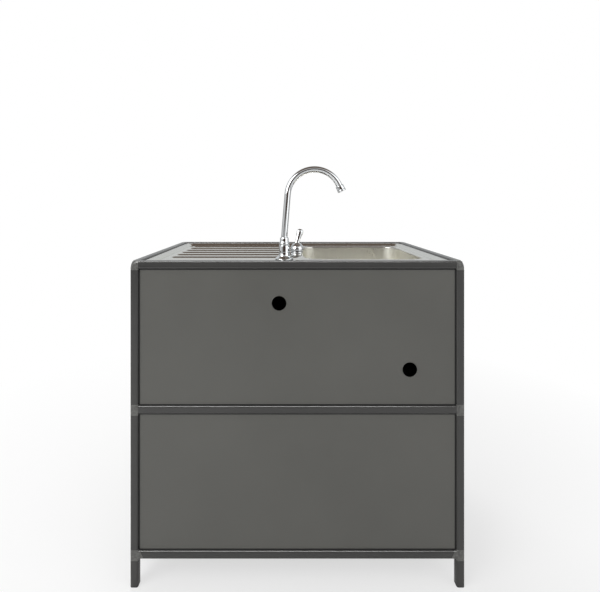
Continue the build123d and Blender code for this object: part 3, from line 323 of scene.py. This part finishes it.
def noise(tree, coords, scale, detail=2.0, stretch=None):
    """A noise value on object coordinates, stretched along an axis if asked."""
    if stretch:
        place = add(tree, "ShaderNodeMapping")
        place.inputs["Scale"].default_value = stretch
        tree.links.new(coords, place.inputs["Vector"])
        coords = place.outputs[0]
    node = add(tree, "ShaderNodeTexNoise")
    node.inputs["Scale"].default_value = scale
    node.inputs["Detail"].default_value = detail
    tree.links.new(coords, node.inputs["Vector"])
    return node.outputs["Fac"]


def tint(tree, shader, source, colour, spread):
    """Lets a value move the base colour a little each way."""
    mix = add(tree, "ShaderNodeMix", data_type="RGBA")
    tree.links.new(source, mix.inputs[0])
    mix.inputs[6].default_value = (*[c * (1 - spread) for c in colour], 1)
    mix.inputs[7].default_value = (*[c * (1 + spread) for c in colour], 1)
    tree.links.new(mix.outputs[2], shader.inputs["Base Color"])


def bump(tree, shader, layers):
    """Stacks bumps on the shader, each a (height, strength, depth in metres)."""
    normal = None
    for height, strength, depth in layers:
        node = add(tree, "ShaderNodeBump")
        node.inputs["Strength"].default_value = strength
        node.inputs["Distance"].default_value = depth
        tree.links.new(height, node.inputs["Height"])
        if normal:
            tree.links.new(normal, node.inputs["Normal"])
        normal = node.outputs["Normal"]
    tree.links.new(normal, shader.inputs["Normal"])


def painted(name, colour, roughness, peel=0.10, drift=0.07, grain=420.0, patches=3.4):
    """Baked paint or moulded plastic; grain and patches are counts per metre."""
    material, tree, shader = new_material(name)
    coords = add(tree, "ShaderNodeTexCoord").outputs["Object"]
    clouds = noise(tree, coords, patches, detail=3.0)
    tint(tree, shader, map_range(tree, clouds, CLOUD_LOW, CLOUD_HIGH, 0, 1), colour, drift)
    glossy, dull = roughness - GLOSS_DRIFT, roughness + GLOSS_DRIFT
    uneven = map_range(tree, clouds, CLOUD_LOW, CLOUD_HIGH, glossy, dull)
    tree.links.new(uneven, shader.inputs["Roughness"])
    bump(tree, shader, [(noise(tree, coords, grain), peel, PEEL_DEPTH)])
    return material


SHEET_PAINT = {"colour": (0.107, 0.1065, 0.097), "roughness": 0.44, "peel": 0.08, "drift": 0.06}
CAST_PAINT = {"roughness": 0.33, "peel": 0.55, "drift": 0.38, "grain": 260.0, "patches": 190.0}
FINISH = {
    "frame_paint": painted("frame_paint", (0.046, 0.0455, 0.044), 0.23, peel=0.08),
    "cast_paint": painted("cast_paint", (0.112, 0.112, 0.106), **CAST_PAINT),
    "panel_paint": painted("panel_paint", **SHEET_PAINT),
    "door_paint": painted("door_paint", **SHEET_PAINT),
    "foot_plastic": painted("foot_plastic", (0.028, 0.028, 0.029), 0.55, peel=0.2),
    "waste_plastic": painted("waste_plastic", (0.70, 0.70, 0.69), 0.42, peel=0.1, drift=0.03),
    "catch_plastic": painted("catch_plastic", (0.045, 0.045, 0.045), 0.5, peel=0.2),
    # gasket_rubber is also the near-black of the strips that paint the shadow in the gaps round the
    # sheets
    "gasket_rubber": painted("gasket_rubber", (0.014, 0.014, 0.014), 0.65, peel=0.2),
    "valve_nylon": painted("valve_nylon", (0.028, 0.028, 0.028), 0.5, peel=0.15),
}
print(len(FINISH), "painted and moulded finishes")

# %% [markdown]
# Stainless steel is brushed along its length, which leaves fine parallel scratches.
# Noise that is stretched along X makes them: it is fine across the grain and long
# with it. The bowl is drawn deep and only satin finished. Its walls keep faint
# upright waves from the press, which break a reflection into upright streaks.
# Polished chrome has the same layers, turned down until only a faint haze is left.

# %% Brushed steel, polished chrome and the small metals
METAL_DRIFT = 0.03
HAZE_SCALE = 7.0
SCRATCH_DEPTH = 0.0002
WAVE_STRENGTH, WAVE_DEPTH = 0.8, 0.004


def metal(name, colour, roughness, stretch, scratch, wave=None, spread=0.05):
    """Metal with fine scratches, and long soft waves if a wave is given."""
    material, tree, shader = new_material(name)
    shader.inputs["Metallic"].default_value = 1.0
    coords = add(tree, "ShaderNodeTexCoord").outputs["Object"]
    grain = noise(tree, coords, 1.0, detail=4.0, stretch=stretch)
    tint(tree, shader, grain, colour, METAL_DRIFT)
    haze = noise(tree, coords, HAZE_SCALE, detail=3.0)
    uneven = add(tree, "ShaderNodeMath", operation="ADD")
    streaks = map_range(tree, grain, 0, 1, roughness - spread, roughness + spread)
    smears = map_range(tree, haze, CLOUD_LOW, CLOUD_HIGH, -spread / 2, spread / 2)
    tree.links.new(streaks, uneven.inputs[0])
    tree.links.new(smears, uneven.inputs[1])
    tree.links.new(uneven.outputs[0], shader.inputs["Roughness"])
    layers = [(grain, scratch, SCRATCH_DEPTH)]
    if wave:
        waves = noise(tree, coords, 1.0, detail=1.0, stretch=wave)
        layers.insert(0, (waves, WAVE_STRENGTH, WAVE_DEPTH))
    bump(tree, shader, layers)
    return material


# colour, roughness, grain per metre along X, Y and Z, strength of the scratches, and
# for some the waves per metre and the spread of the roughness
METALS = {
    "sink_steel": ((0.70, 0.695, 0.66), 0.20, (14, 1400, 1400), 0.16),
    "bowl_steel": ((0.72, 0.71, 0.655), 0.30, (500, 500, 60), 0.08, (30, 30, 0.8)),
    "zinc_steel": ((0.52, 0.53, 0.55), 0.42, (90, 90, 90), 0.10),
    "knob_metal": ((0.62, 0.62, 0.62), 0.28, (900, 60, 900), 0.10),
    "brass": ((0.70, 0.55, 0.28), 0.30, (300, 300, 300), 0.08),
    "tail_copper": ((0.75, 0.42, 0.28), 0.32, (600, 600, 40), 0.08),
    "tap_chrome": ((0.77, 0.79, 0.80), 0.055, (30, 30, 30), 0.012, None, 0.02),
    "lever_chrome": ((0.74, 0.76, 0.77), 0.17, (60, 60, 60), 0.03, None, 0.04),
}
for name, values in METALS.items():
    FINISH[name] = metal(name, *values)
print(len(FINISH), "finishes in all")

# %% [markdown]
# ## Modelling by hand
# Every turned piece starts as one filled circle. Its top face is extruded, moved up
# and resized, ring after ring, which is what a lathe's outline is. A last pass
# turns the faces outwards. Cast and machined edges always have a small round, and
# that round is what catches a line of light. It comes from rings set close together
# or, where a piece isn't turned, from a bevel.

# %% Select one piece
def clear_selection():
    """Leaves edit mode and deselects everything."""
    active = bpy.context.view_layer.objects.active
    if active and active.mode == "EDIT":
        bpy.ops.object.mode_set(mode="OBJECT")
    bpy.ops.object.select_all(action="DESELECT")


def pick(piece, *others):
    """Makes one piece active and selects it, with any others."""
    clear_selection()
    for other in (piece, *others):
        other.select_set(True)
    bpy.context.view_layer.objects.active = piece


print("selection helpers ready")

# %% Turn a form on the lathe
SIDES, FINE_SIDES, HIDDEN_SIDES = 64, 96, 32


def start_circle(name, ring, sides, fill="NGON"):
    """A circle about the Z axis, in edit mode; the ring is (radius, height) in mm."""
    clear_selection()
    radius, height = ring
    bpy.ops.mesh.primitive_circle_add(
        vertices=sides, radius=radius * MM, fill_type=fill, location=(0, 0, height * MM)
    )
    piece = bpy.context.active_object
    piece.name = name
    bpy.ops.object.transform_apply(location=True, rotation=True, scale=True)
    bpy.ops.object.mode_set(mode="EDIT")
    bpy.ops.mesh.select_all(action="SELECT")
    return piece


def extrude_rings(rings):
    """Extrudes the selected ring through a list of (radius, height) in mm."""
    for (radius, height), (wider, higher) in zip(rings, rings[1:]):
        rise, share = (higher - height) * MM, wider / radius
        bpy.ops.mesh.extrude_region_move(TRANSFORM_OT_translate={"value": (0, 0, rise)})
        bpy.ops.transform.resize(value=(share, share, 1), center_override=(0, 0, higher * MM))


def face_outwards():
    """Turns the faces of the piece in edit mode outwards, and leaves edit mode."""
    bpy.ops.mesh.select_all(action="SELECT")
    bpy.ops.mesh.normals_make_consistent(inside=False)
    bpy.ops.object.mode_set(mode="OBJECT")


def turned_form(name, rings, sides=SIDES):
    """A closed turned form about the Z axis, from (radius, height) in mm."""
    piece = start_circle(name, rings[0], sides)
    extrude_rings(rings)
    face_outwards()
    return piece


print("turned forms have", SIDES, "sides, or", FINE_SIDES, "where they are polished")

# %% Place, join and finish a piece
CRISP_ABOVE = 32.0    # degrees between two faces; below this their edge is shaded smooth


def set_down(piece, place, turn=(0, 0, 0), order="XYZ"):
    """Moves and turns a piece, then writes that into its mesh."""
    pick(piece)
    piece.rotation_mode = order
    piece.rotation_euler = [math.radians(angle) for angle in turn]
    piece.location = place
    bpy.ops.object.transform_apply(location=True, rotation=True, scale=True)
    return piece


def join(first, *others):
    """Joins pieces into the first one."""
    pick(first, *others)
    bpy.ops.object.join()
    return first


def apply_modifier(piece, kind, **settings):
    """Adds one modifier with its settings and applies it."""
    pick(piece)
    modifier = piece.modifiers.new(kind.title(), kind)
    for key, value in settings.items():
        setattr(modifier, key, value)
    bpy.ops.object.modifier_apply(modifier=modifier.name)


def round_edges(piece, width, segments=3):
    """Rounds every crisp edge of a piece; width is in millimetres."""
    apply_modifier(
        piece, "BEVEL", width=width * MM, segments=segments, limit_method="ANGLE",
        angle_limit=math.radians(CRISP_ABOVE),
    )


print("edges sharper than", CRISP_ABOVE, "degrees stay crisp")

# %% Hand a finished piece over
REMODELLED = set()


def hand_over(piece, node, finish=None, smooth=CRISP_ABOVE, replace=True):
    """Shades a finished piece, gives it its finish and sets it on its body."""
    pick(piece)
    bpy.ops.object.shade_smooth_by_angle(angle=math.radians(smooth))
    piece.data.materials.clear()
    piece.data.materials.append(FINISH[finish or SLOTS[node]])
    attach(piece, BODY_OF[node])
    if replace:
        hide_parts(node)
        REMODELLED.add(node)
    return piece


def middle_of(node):
    """The middle of a frame piece's box."""
    low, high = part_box(node)
    return (low + high) / 2


def rounded(values, digits=3):
    """Values with few digits, for printing."""
    return [round(v, digits) for v in values]


TAP = middle_of("tap_spout_collar")
VALVE = middle_of("tap_cartridge")
print("tap stands at", rounded(TAP[:2]), "and its valve at", rounded(VALVE[:2]))

# %% [markdown]
# ## The tap's body
# On the real tap this is one polished casting: a flared foot, a column and a side
# housing for the valve. Each is a turned form. Their rings lie closest together
# where the outline bends most, so that a reflection runs over the foot in one
# smooth curve. A short arm, which stays mostly hidden, ties housing and column.

# %% Column, housing and the arm between them
COLUMN = [
    (14.5, 833.5), (14.5, 891.4), (27.4, 891.5), (28, 892.1), (28, 893.3), (27.3, 894.5),
    (25.6, 895.6), (23.4, 896.7), (21.3, 898.0), (19.4, 899.9), (18.0, 902.2), (17.0, 905.0),
    (16.3, 908.6), (16.0, 912.5), (16.0, 931.6), (15.7, 932.8), (15.0, 933.6), (14.0, 934.0),
]
HOUSING = [
    (4, 898), (9, 898.3), (12, 899), (14.4, 900.2), (16.2, 902), (17.3, 904.2), (17.95, 906.6),
    (18.2, 909), (18.2, 910.3), (17.3, 910.7), (17.3, 911.5), (18.2, 911.9), (18.2, 913.6),
    (17.9, 914.6), (17.2, 915), (14.7, 915), (14.6, 914.8), (14.6, 902),
]
ARM = [(6.3, -38), (6.3, -26), (6.3, -12), (6.3, 0)]
ARM_Z = 905.0
column = set_down(turned_form("tap_body_form", COLUMN, FINE_SIDES), (TAP.x, TAP.y, 0))
housing = set_down(turned_form("housing", HOUSING, FINE_SIDES), (VALVE.x, VALVE.y, 0))
arm = set_down(turned_form("arm", ARM, HIDDEN_SIDES), (TAP.x, TAP.y, ARM_Z * MM), (0, 90, 0))
hand_over(join(column, housing, arm), "tap_body")
print("tap body", len(column.data.polygons), "faces")

# %% [markdown]
# The collar is the ring nut that holds the spout's foot and lets it swivel. It is
# turned like the column, but open: its last rings come back down inside, so that
# the spout's tube is seen to stand in it.

# %% Collar over the column
COLLAR = [
    (9.7, 934.2), (14.2, 934.2), (15.0, 934.7), (15.4, 935.6), (15.5, 936.8), (15.5, 939.6),
    (15.1, 940.9), (14.3, 942.2), (13.6, 943.6), (13.25, 945.4), (13.1, 948.0), (13.0, 951.6),
    (12.7, 953.6), (12.2, 955.4), (11.5, 956.6), (10.6, 957), (9.8, 957), (9.7, 956.6), (9.7, 935),
]
collar = set_down(turned_form("collar_form", COLLAR, FINE_SIDES), (TAP.x, TAP.y, 0))
hand_over(collar, "tap_spout_collar")
print("collar", len(collar.data.polygons), "faces")

# %% [markdown]
# ## The spout
# A swan neck is a straight tube, bent. It is modelled the same way: a circle is
# extruded up the riser, leans over a little, and is then turned step by step about
# the centre of the bend, as a bending tool does. Turning about a fixed centre keeps
# every ring the same size and square to its path, which a curve needs care to do.

# %% Measures of the spout, in millimetres and degrees
TUBE_R = 9.5
SPOUT_FOOT, SPOUT_BEND, SPOUT_TOP = 909.5, 961.0, 1171.5
LEAN, BEND_R, ARC_R, ARC_END, TIP = 4.5, 60.0, 81.4, 26.0, 10.0
LEAN_STEP, ARC_STEP, RISER_RINGS = 1.1, 3.0, 4
lean = math.radians(LEAN)
arc_end = math.radians(ARC_END)
tuck = BEND_R * math.tan(lean / 2)
arc_z = SPOUT_TOP - TUBE_R - ARC_R
tangent_z = arc_z + ARC_R * math.sin(lean)
tangent_x = -(tangent_z - SPOUT_BEND) * math.tan(lean)
arc_x = tangent_x - ARC_R * math.cos(lean)
riser = (tangent_z - SPOUT_BEND) / math.cos(lean) - tuck
out_along = (-math.sin(arc_end), -math.cos(arc_end))
print("riser is", round(riser, 1), "long and the arc's centre at", rounded((arc_x, arc_z), 1))


# %% Bend the spout
def extrude_to(offset):
    """Extrudes the selected ring along an offset in millimetres."""
    bpy.ops.mesh.extrude_region_move(
        TRANSFORM_OT_translate={"value": [distance * MM for distance in offset]}
    )


def bend_ring(angle, centre, step):
    """Extrudes the selected ring round a centre in the XZ plane, in equal steps."""
    steps = max(1, round(angle / step))
    for _ in range(steps):
        bpy.ops.mesh.extrude_region_move(TRANSFORM_OT_translate={"value": (0, 0, 0)})
        bpy.ops.transform.rotate(
            value=math.radians(angle / steps), orient_axis="Y",
            center_override=(centre[0] * MM, 0, centre[1] * MM),
        )


spout = start_circle("spout_form", (TUBE_R, SPOUT_FOOT), SIDES)
extrude_to((0, 0, SPOUT_BEND - tuck - SPOUT_FOOT))
bend_ring(LEAN, (-BEND_R, SPOUT_BEND - tuck), LEAN_STEP)
for _ in range(RISER_RINGS):
    extrude_to((-riser / RISER_RINGS * math.sin(lean), 0, riser / RISER_RINGS * math.cos(lean)))
bend_ring(180 - ARC_END - LEAN, (arc_x, arc_z), ARC_STEP)
extrude_to((TIP * out_along[0], 0, TIP * out_along[1]))
face_outwards()
set_down(spout, (TAP.x, TAP.y, 0))
hand_over(spout, "tap_spout")
low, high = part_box("tap_spout")
reach = [min(v.co.x for v in spout.data.vertices), max(v.co.z for v in spout.data.vertices)]
print("spout reaches", rounded(reach, 4), "and the frame's", rounded((low.x, high.z), 4))

# %% [markdown]
# ## The aerator
# The nozzle at the spout's end is a short sleeve with a grip ring, and a screen of
# small holes sits inside its mouth. The sleeve is one turned form whose last rings
# go back inside. The holes are real: one set of pins cuts them through the screen,
# because a picture of holes would stay flat when the spout swings round.

# %% Sleeve and screen
AERATOR_OVERLAP = 6.0
AERATOR = [
    (9.7, 0), (11.2, 0), (11.9, 0.4), (12.3, 1.3), (12.3, 12.9), (12.4, 13.4), (12.9, 14),
    (12.9, 17.9), (12.7, 18.5), (12.2, 19), (10.6, 19), (10.1, 18.8), (9.9, 18.3), (9.8, 15.0),
]
SCREEN_HOLES = ((3.0, 6), (6.0, 12))    # radius of each ring, and its holes
HOLE_PIN, PIN_SIDES = [(0.9, 11.5), (0.9, 15.6)], 12
SLEEVE_SMOOTH = 40.0


def screen_pin(ring, angle):
    """A slim pin at one place of the screen."""
    place = (ring * math.cos(angle) * MM, ring * math.sin(angle) * MM, 0)
    return set_down(turned_form("pin", HOLE_PIN, PIN_SIDES), place)


aerator = turned_form("aerator_form", AERATOR, FINE_SIDES)
pins = [screen_pin(ring, math.tau * k / count) for ring, count in SCREEN_HOLES for k in range(count)]
cutter = join(*pins)
apply_modifier(aerator, "BOOLEAN", operation="DIFFERENCE", solver="EXACT", object=cutter)
bpy.data.objects.remove(cutter)
start = TIP - AERATOR_OVERLAP
spot_x = arc_x - math.cos(arc_end) * ARC_R + out_along[0] * start
spot_z = arc_z + math.sin(arc_end) * ARC_R + out_along[1] * start
set_down(aerator, (TAP.x + spot_x * MM, TAP.y, spot_z * MM), (0, 180 + ARC_END, 0))
hand_over(aerator, "tap_aerator", smooth=SLEEVE_SMOOTH)

# %% [markdown]
# ## Lever and cap
# The cap is a dome with a skirt, and a fine groove where the two meet: it shows as
# a dark ring. The dome's wall is modelled inside and out, since the lever tips and
# the skirt's underside comes into view. Inside it a stem comes down to the lug
# that tips on the valve's pin.

# %% Dome and skirt of the cap
CAP_R, CAP_SKIRT, CAP_CROWN, CAP_WALL, CAP_EDGE = 20.0, 917.0, 941.0, 1.5, 0.3
CAP_CENTRE = CAP_CROWN - CAP_R
INSIDE_ARC, OUTSIDE_ARC = (80, 2, 9), (4, 87, 4)    # degrees: from, to and step
GROOVE = [(20, 917.4), (20, 920.5), (19.1, 920.9), (19.1, 921.4), (19.95, 921.8)]


def dome(radius, centre, first, last, step):
    """Rings of a dome between two angles above its equator."""
    count = round(abs(last - first) / step)
    angles = [math.radians(first + (last - first) * k / count) for k in range(count + 1)]
    return [(radius * math.cos(a), centre + radius * math.sin(a)) for a in angles]


bore = CAP_R - CAP_WALL
skirt = [(bore, CAP_SKIRT + CAP_EDGE), (bore + CAP_EDGE, CAP_SKIRT), (CAP_R - CAP_EDGE, CAP_SKIRT)]
rings = dome(bore, CAP_CENTRE, *INSIDE_ARC) + skirt + GROOVE + dome(CAP_R, CAP_CENTRE, *OUTSIDE_ARC)
cap = set_down(turned_form("lever_cap_form", rings, FINE_SIDES), (VALVE.x, VALVE.y, 0))
print("dome of", len(rings), "rings")

# %% Lug and stem
PIVOT_Z, LUG_HALF, LUG_ROUND = 912.0, 4.6, 4.0
STEM_MIDDLE, STEM_LENGTH, STEM_ROUND = 14.0, 26.0, 0.4
lug = turned_form("lug", [(LUG_ROUND, -LUG_HALF), (LUG_ROUND, LUG_HALF)], HIDDEN_SIDES)
set_down(lug, (VALVE.x, VALVE.y, PIVOT_Z * MM), (0, 90, 0))
bpy.ops.object.select_all(action="DESELECT")
bpy.ops.mesh.primitive_cube_add(size=1, location=(VALVE.x, VALVE.y, (PIVOT_Z + STEM_MIDDLE) * MM))
stem = bpy.context.active_object
stem.scale = (2 * LUG_HALF * MM, 2 * LUG_ROUND * MM, STEM_LENGTH * MM)
bpy.ops.object.transform_apply(location=True, rotation=True, scale=True)
round_edges(stem, STEM_ROUND)
hand_over(join(cap, lug, stem), "tap_lever_cap", "lever_chrome")
print("cap", len(cap.data.polygons), "faces")

# %% [markdown]
# The handle is a cast teardrop. A flattened ring narrows to a waist and swells to
# a bulb, and subdivision smooths it, which needs fewer rings than drawing the
# curve out. It leans sideways and forwards, as the photograph shows.

# %% Handle
HANDLE = [
    (7.8, -2), (7.1, 2), (6.7, 6.5), (6.65, 11), (6.95, 16), (7.6, 20.5), (8.5, 25), (9.4, 29.5),
    (9.9, 33.5), (9.7, 37), (8.9, 40), (7.4, 42.3), (5.0, 43.8), (2.4, 44.4),
]
FLATTENING, HANDLE_FORWARD, HANDLE_LEAN, HANDLE_SINK = 0.62, 12.0, 15.0, 2.0
HANDLE_SIDES, HANDLE_SMOOTH = 24, 60.0
handle = start_circle("lever_form", HANDLE[0], HANDLE_SIDES)
bpy.ops.transform.resize(value=(1, FLATTENING, 1), center_override=(0, 0, 0))
extrude_rings(HANDLE)
face_outwards()
apply_modifier(handle, "SUBSURF", levels=2, render_levels=2)
root = (VALVE.x, VALVE.y, (CAP_CROWN - HANDLE_SINK) * MM)
set_down(handle, root, (HANDLE_FORWARD, -HANDLE_LEAN, 0), "ZYX")
hand_over(handle, "tap_lever", "lever_chrome", smooth=HANDLE_SMOOTH)

# %% [markdown]
# ## The knobs
# The knobs are turned from bar: a foot, a slim neck and a slightly dished face, with
# rings close together to round the rim. There are four, so one is modelled and the
# others are copies, each with its own mesh, as each rides on its own door.

# %% Knobs on the doors
KNOB = [
    (8, 0), (8, 1.2), (7.6, 1.7), (6.4, 2.4), (5.6, 3.6), (5.3, 5.4), (5.4, 7.4), (6.1, 9.0),
    (7.8, 10.3), (9.8, 11.4), (11.3, 12.6), (12, 14.2), (12, 17.4), (11.6, 18.7), (10.7, 19.7),
    (9.6, 20), (7.5, 19.8), (4, 19.6), (1, 19.55),
]
KNOB_SMOOTH = 40.0
pattern = turned_form("knob_pattern", KNOB)
for node in sorted(n for n in NODES if n.startswith("knob_")):
    middle, door_face = middle_of(node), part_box(node)[1].y
    copy = pattern.copy()
    copy.data = pattern.data.copy()
    copy.name = node + "_form"
    bpy.context.scene.collection.objects.link(copy)
    set_down(copy, (middle.x, door_face, middle.z), (90, 0, 0))
    hand_over(copy, node, smooth=KNOB_SMOOTH)
    print(node, "at", rounded(middle))
bpy.data.objects.remove(pattern)

# %% [markdown]
# ## Painted shadow strips round the sheets
# Each sheet sits back between the tubes, and the photograph shows a near-black line all round it:
# the shadow in the gap. A near-black strip laid in that gap paints the shadow in, as painted shade,
# darker and wider than the thin gap shades by itself.
# It is modelled as one flat frame: a plane is inset by the strip's width, the
# middle is deleted, and what is left is extruded to its depth.

# %% Painted shadow strips
STRIP_OVERLAP, STRIP_PROUD, STRIP_DEPTH, STRIP_GAP, STRIP_ROUND = 1.9, 0.7, 3.0, 1.4, 0.35


def flat_frame(name, width, height, border, depth):
    """A flat frame that faces up, with its size in metres."""
    clear_selection()
    bpy.ops.mesh.primitive_plane_add(size=1)
    piece = bpy.context.active_object
    piece.name = name
    piece.scale = (width, height, 1)
    bpy.ops.object.transform_apply(location=True, rotation=True, scale=True)
    bpy.ops.object.mode_set(mode="EDIT")
    bpy.ops.mesh.select_all(action="SELECT")
    bpy.ops.mesh.inset(thickness=border)
    bpy.ops.mesh.delete(type="FACE")
    bpy.ops.mesh.select_all(action="SELECT")
    bpy.ops.mesh.extrude_region_move(TRANSFORM_OT_translate={"value": (0, 0, -depth)})
    face_outwards()
    return piece


def shadow_gap_strip(node):
    """A near-black strip in the gap round one sheet, on the sheet's outer face, that paints the
    gap's shadow.
    """
    low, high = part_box(node)
    middle = (low + high) / 2
    at_back = node.startswith("back")
    facing = Vector((0, 1, 0)) if at_back else Vector((math.copysign(1, middle.x), 0, 0))
    face = high.y if at_back else max(abs(low.x), abs(high.x))
    across = (high.x - low.x) if at_back else (high.y - low.y)
    width = (across / MM + 2 * STRIP_GAP) * MM
    height = ((high.z - low.z) / MM + 2 * STRIP_GAP) * MM
    border = (STRIP_GAP + STRIP_OVERLAP) * MM
    # this strip is painted shadow for the gap round the sheet
    strip = flat_frame(node + "_shadow_strip", width, height, border, STRIP_DEPTH * MM)
    round_edges(strip, STRIP_ROUND, segments=2)
    turn = (90, 0, 180) if at_back else (90, 0, math.copysign(90, middle.x))
    set_down(strip, middle + facing * (face + STRIP_PROUD * MM - middle.dot(facing)), turn)
    # the near-black finish paints the shadow of the gap, as painted shade
    return hand_over(strip, node, "gasket_rubber", replace=False)


sheets = [node for node in sorted(NODES) if "_panel_" in node]
# one painted shadow strip round each sheet
for node in sheets:
    shadow_gap_strip(node)
# the strips counted here paint the shadows in the gaps round the sheets
print(len(sheets), "sealing strips")

# %% [markdown]
# ## Rims of the pipe holes
# A pipe hole in thin sheet gets a rolled edge, which is what the photograph's thin
# light ring is. It is an open ring this time: a circle's edge is extruded round the
# rim's outline until it comes back to its start, and the seam is merged.

# %% Rolled rims
HOLE_RIM = [
    (20.2, -1.6), (20.2, -0.2), (20.35, 0.25), (20.75, 0.6), (21.3, 0.72), (21.85, 0.6),
    (22.2, 0.25), (22.3, -0.2), (22.3, -1.0), (20.2, -1.6),
]
PIPE_HOLES = {"supply_hole": (50.5, 782.0), "waste_hole": (-311.5, 598.5)}    # X and Z
BACK_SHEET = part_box("back_panel_upper")[1].y
SEAM = 0.01


def ring_form(name, rings, sides=FINE_SIDES):
    """A closed ring about the Z axis, from (radius, height) in mm."""
    piece = start_circle(name, rings[0], sides, fill="NOTHING")
    extrude_rings(rings)
    bpy.ops.mesh.select_all(action="SELECT")
    bpy.ops.mesh.remove_doubles(threshold=SEAM * MM)
    face_outwards()
    return piece


for hole, (x, z) in PIPE_HOLES.items():
    rim = set_down(ring_form(hole + "_rim", HOLE_RIM), (x * MM, BACK_SHEET, z * MM), (-90, 0, 0))
    hand_over(rim, "back_panel_upper", replace=False)
print(len(PIPE_HOLES), "rolled rims")

# %% [markdown]
# ## Smooth skins for the other pieces
# A frame piece arrives as loose triangles, so its rounded corners look cut in
# facets. The frame piece is left alone. A copy of it is welded, loses the shading
# that was stored with it, and is shaded smooth wherever two faces meet at a shallow
# angle, which keeps real edges crisp. The drainer's channels are pressed at 32
# degrees, so its limit lies below that. Cast, moulded and machined pieces also get a
# small bevel, as no such edge is ever sharp. The painted tubes, the doors and the
# bowl go on the strip lamp's list.

# %% Weld, round and smooth a copy of every other frame piece
WELD = 0.00002             # metres
DRAINER_SMOOTH = 18.0      # degrees
SHEEN_ON = (
    "post_", "top_", "middle_rail", "middle_conn", "bottom_", "door_upper", "door_lower",
    "foot_caps", "sink_bowl",
)
EDGE_ROUNDS = {
    "top_connectors": 0.7, "middle_connectors": 0.8, "bottom_connectors": 0.8, "door_catches": 0.6,
    "tap_mounting_nut": 0.5, "door_pivots": 0.2, "sink_supports": 0.3,
}


def skin(node):
    """A welded, smooth copy that stands for one frame piece."""
    piece = bpy.data.objects.new(node + "_skin", NODES[node].data.copy())
    bpy.context.scene.collection.objects.link(piece)
    pick(piece)
    bpy.ops.object.mode_set(mode="EDIT")
    bpy.ops.mesh.select_all(action="SELECT")
    bpy.ops.mesh.remove_doubles(threshold=WELD)
    bpy.ops.object.mode_set(mode="OBJECT")
    bpy.ops.mesh.customdata_custom_splitnormals_clear()
    if node in EDGE_ROUNDS:
        round_edges(piece, EDGE_ROUNDS[node])
    if node.startswith(SHEEN_ON):
        SHEEN_PIECES.objects.link(piece)
    finish = "bowl_steel" if node == "sink_bowl" else None
    smooth = DRAINER_SMOOTH if node == "sink_deck" else CRISP_ABOVE
    return hand_over(piece, node, finish, smooth)


plain = sorted(set(NODES) - REMODELLED)
for node in plain:
    skin(node)
print(len(plain), "skins beside", len(NODES) - len(plain), "pieces remodelled")
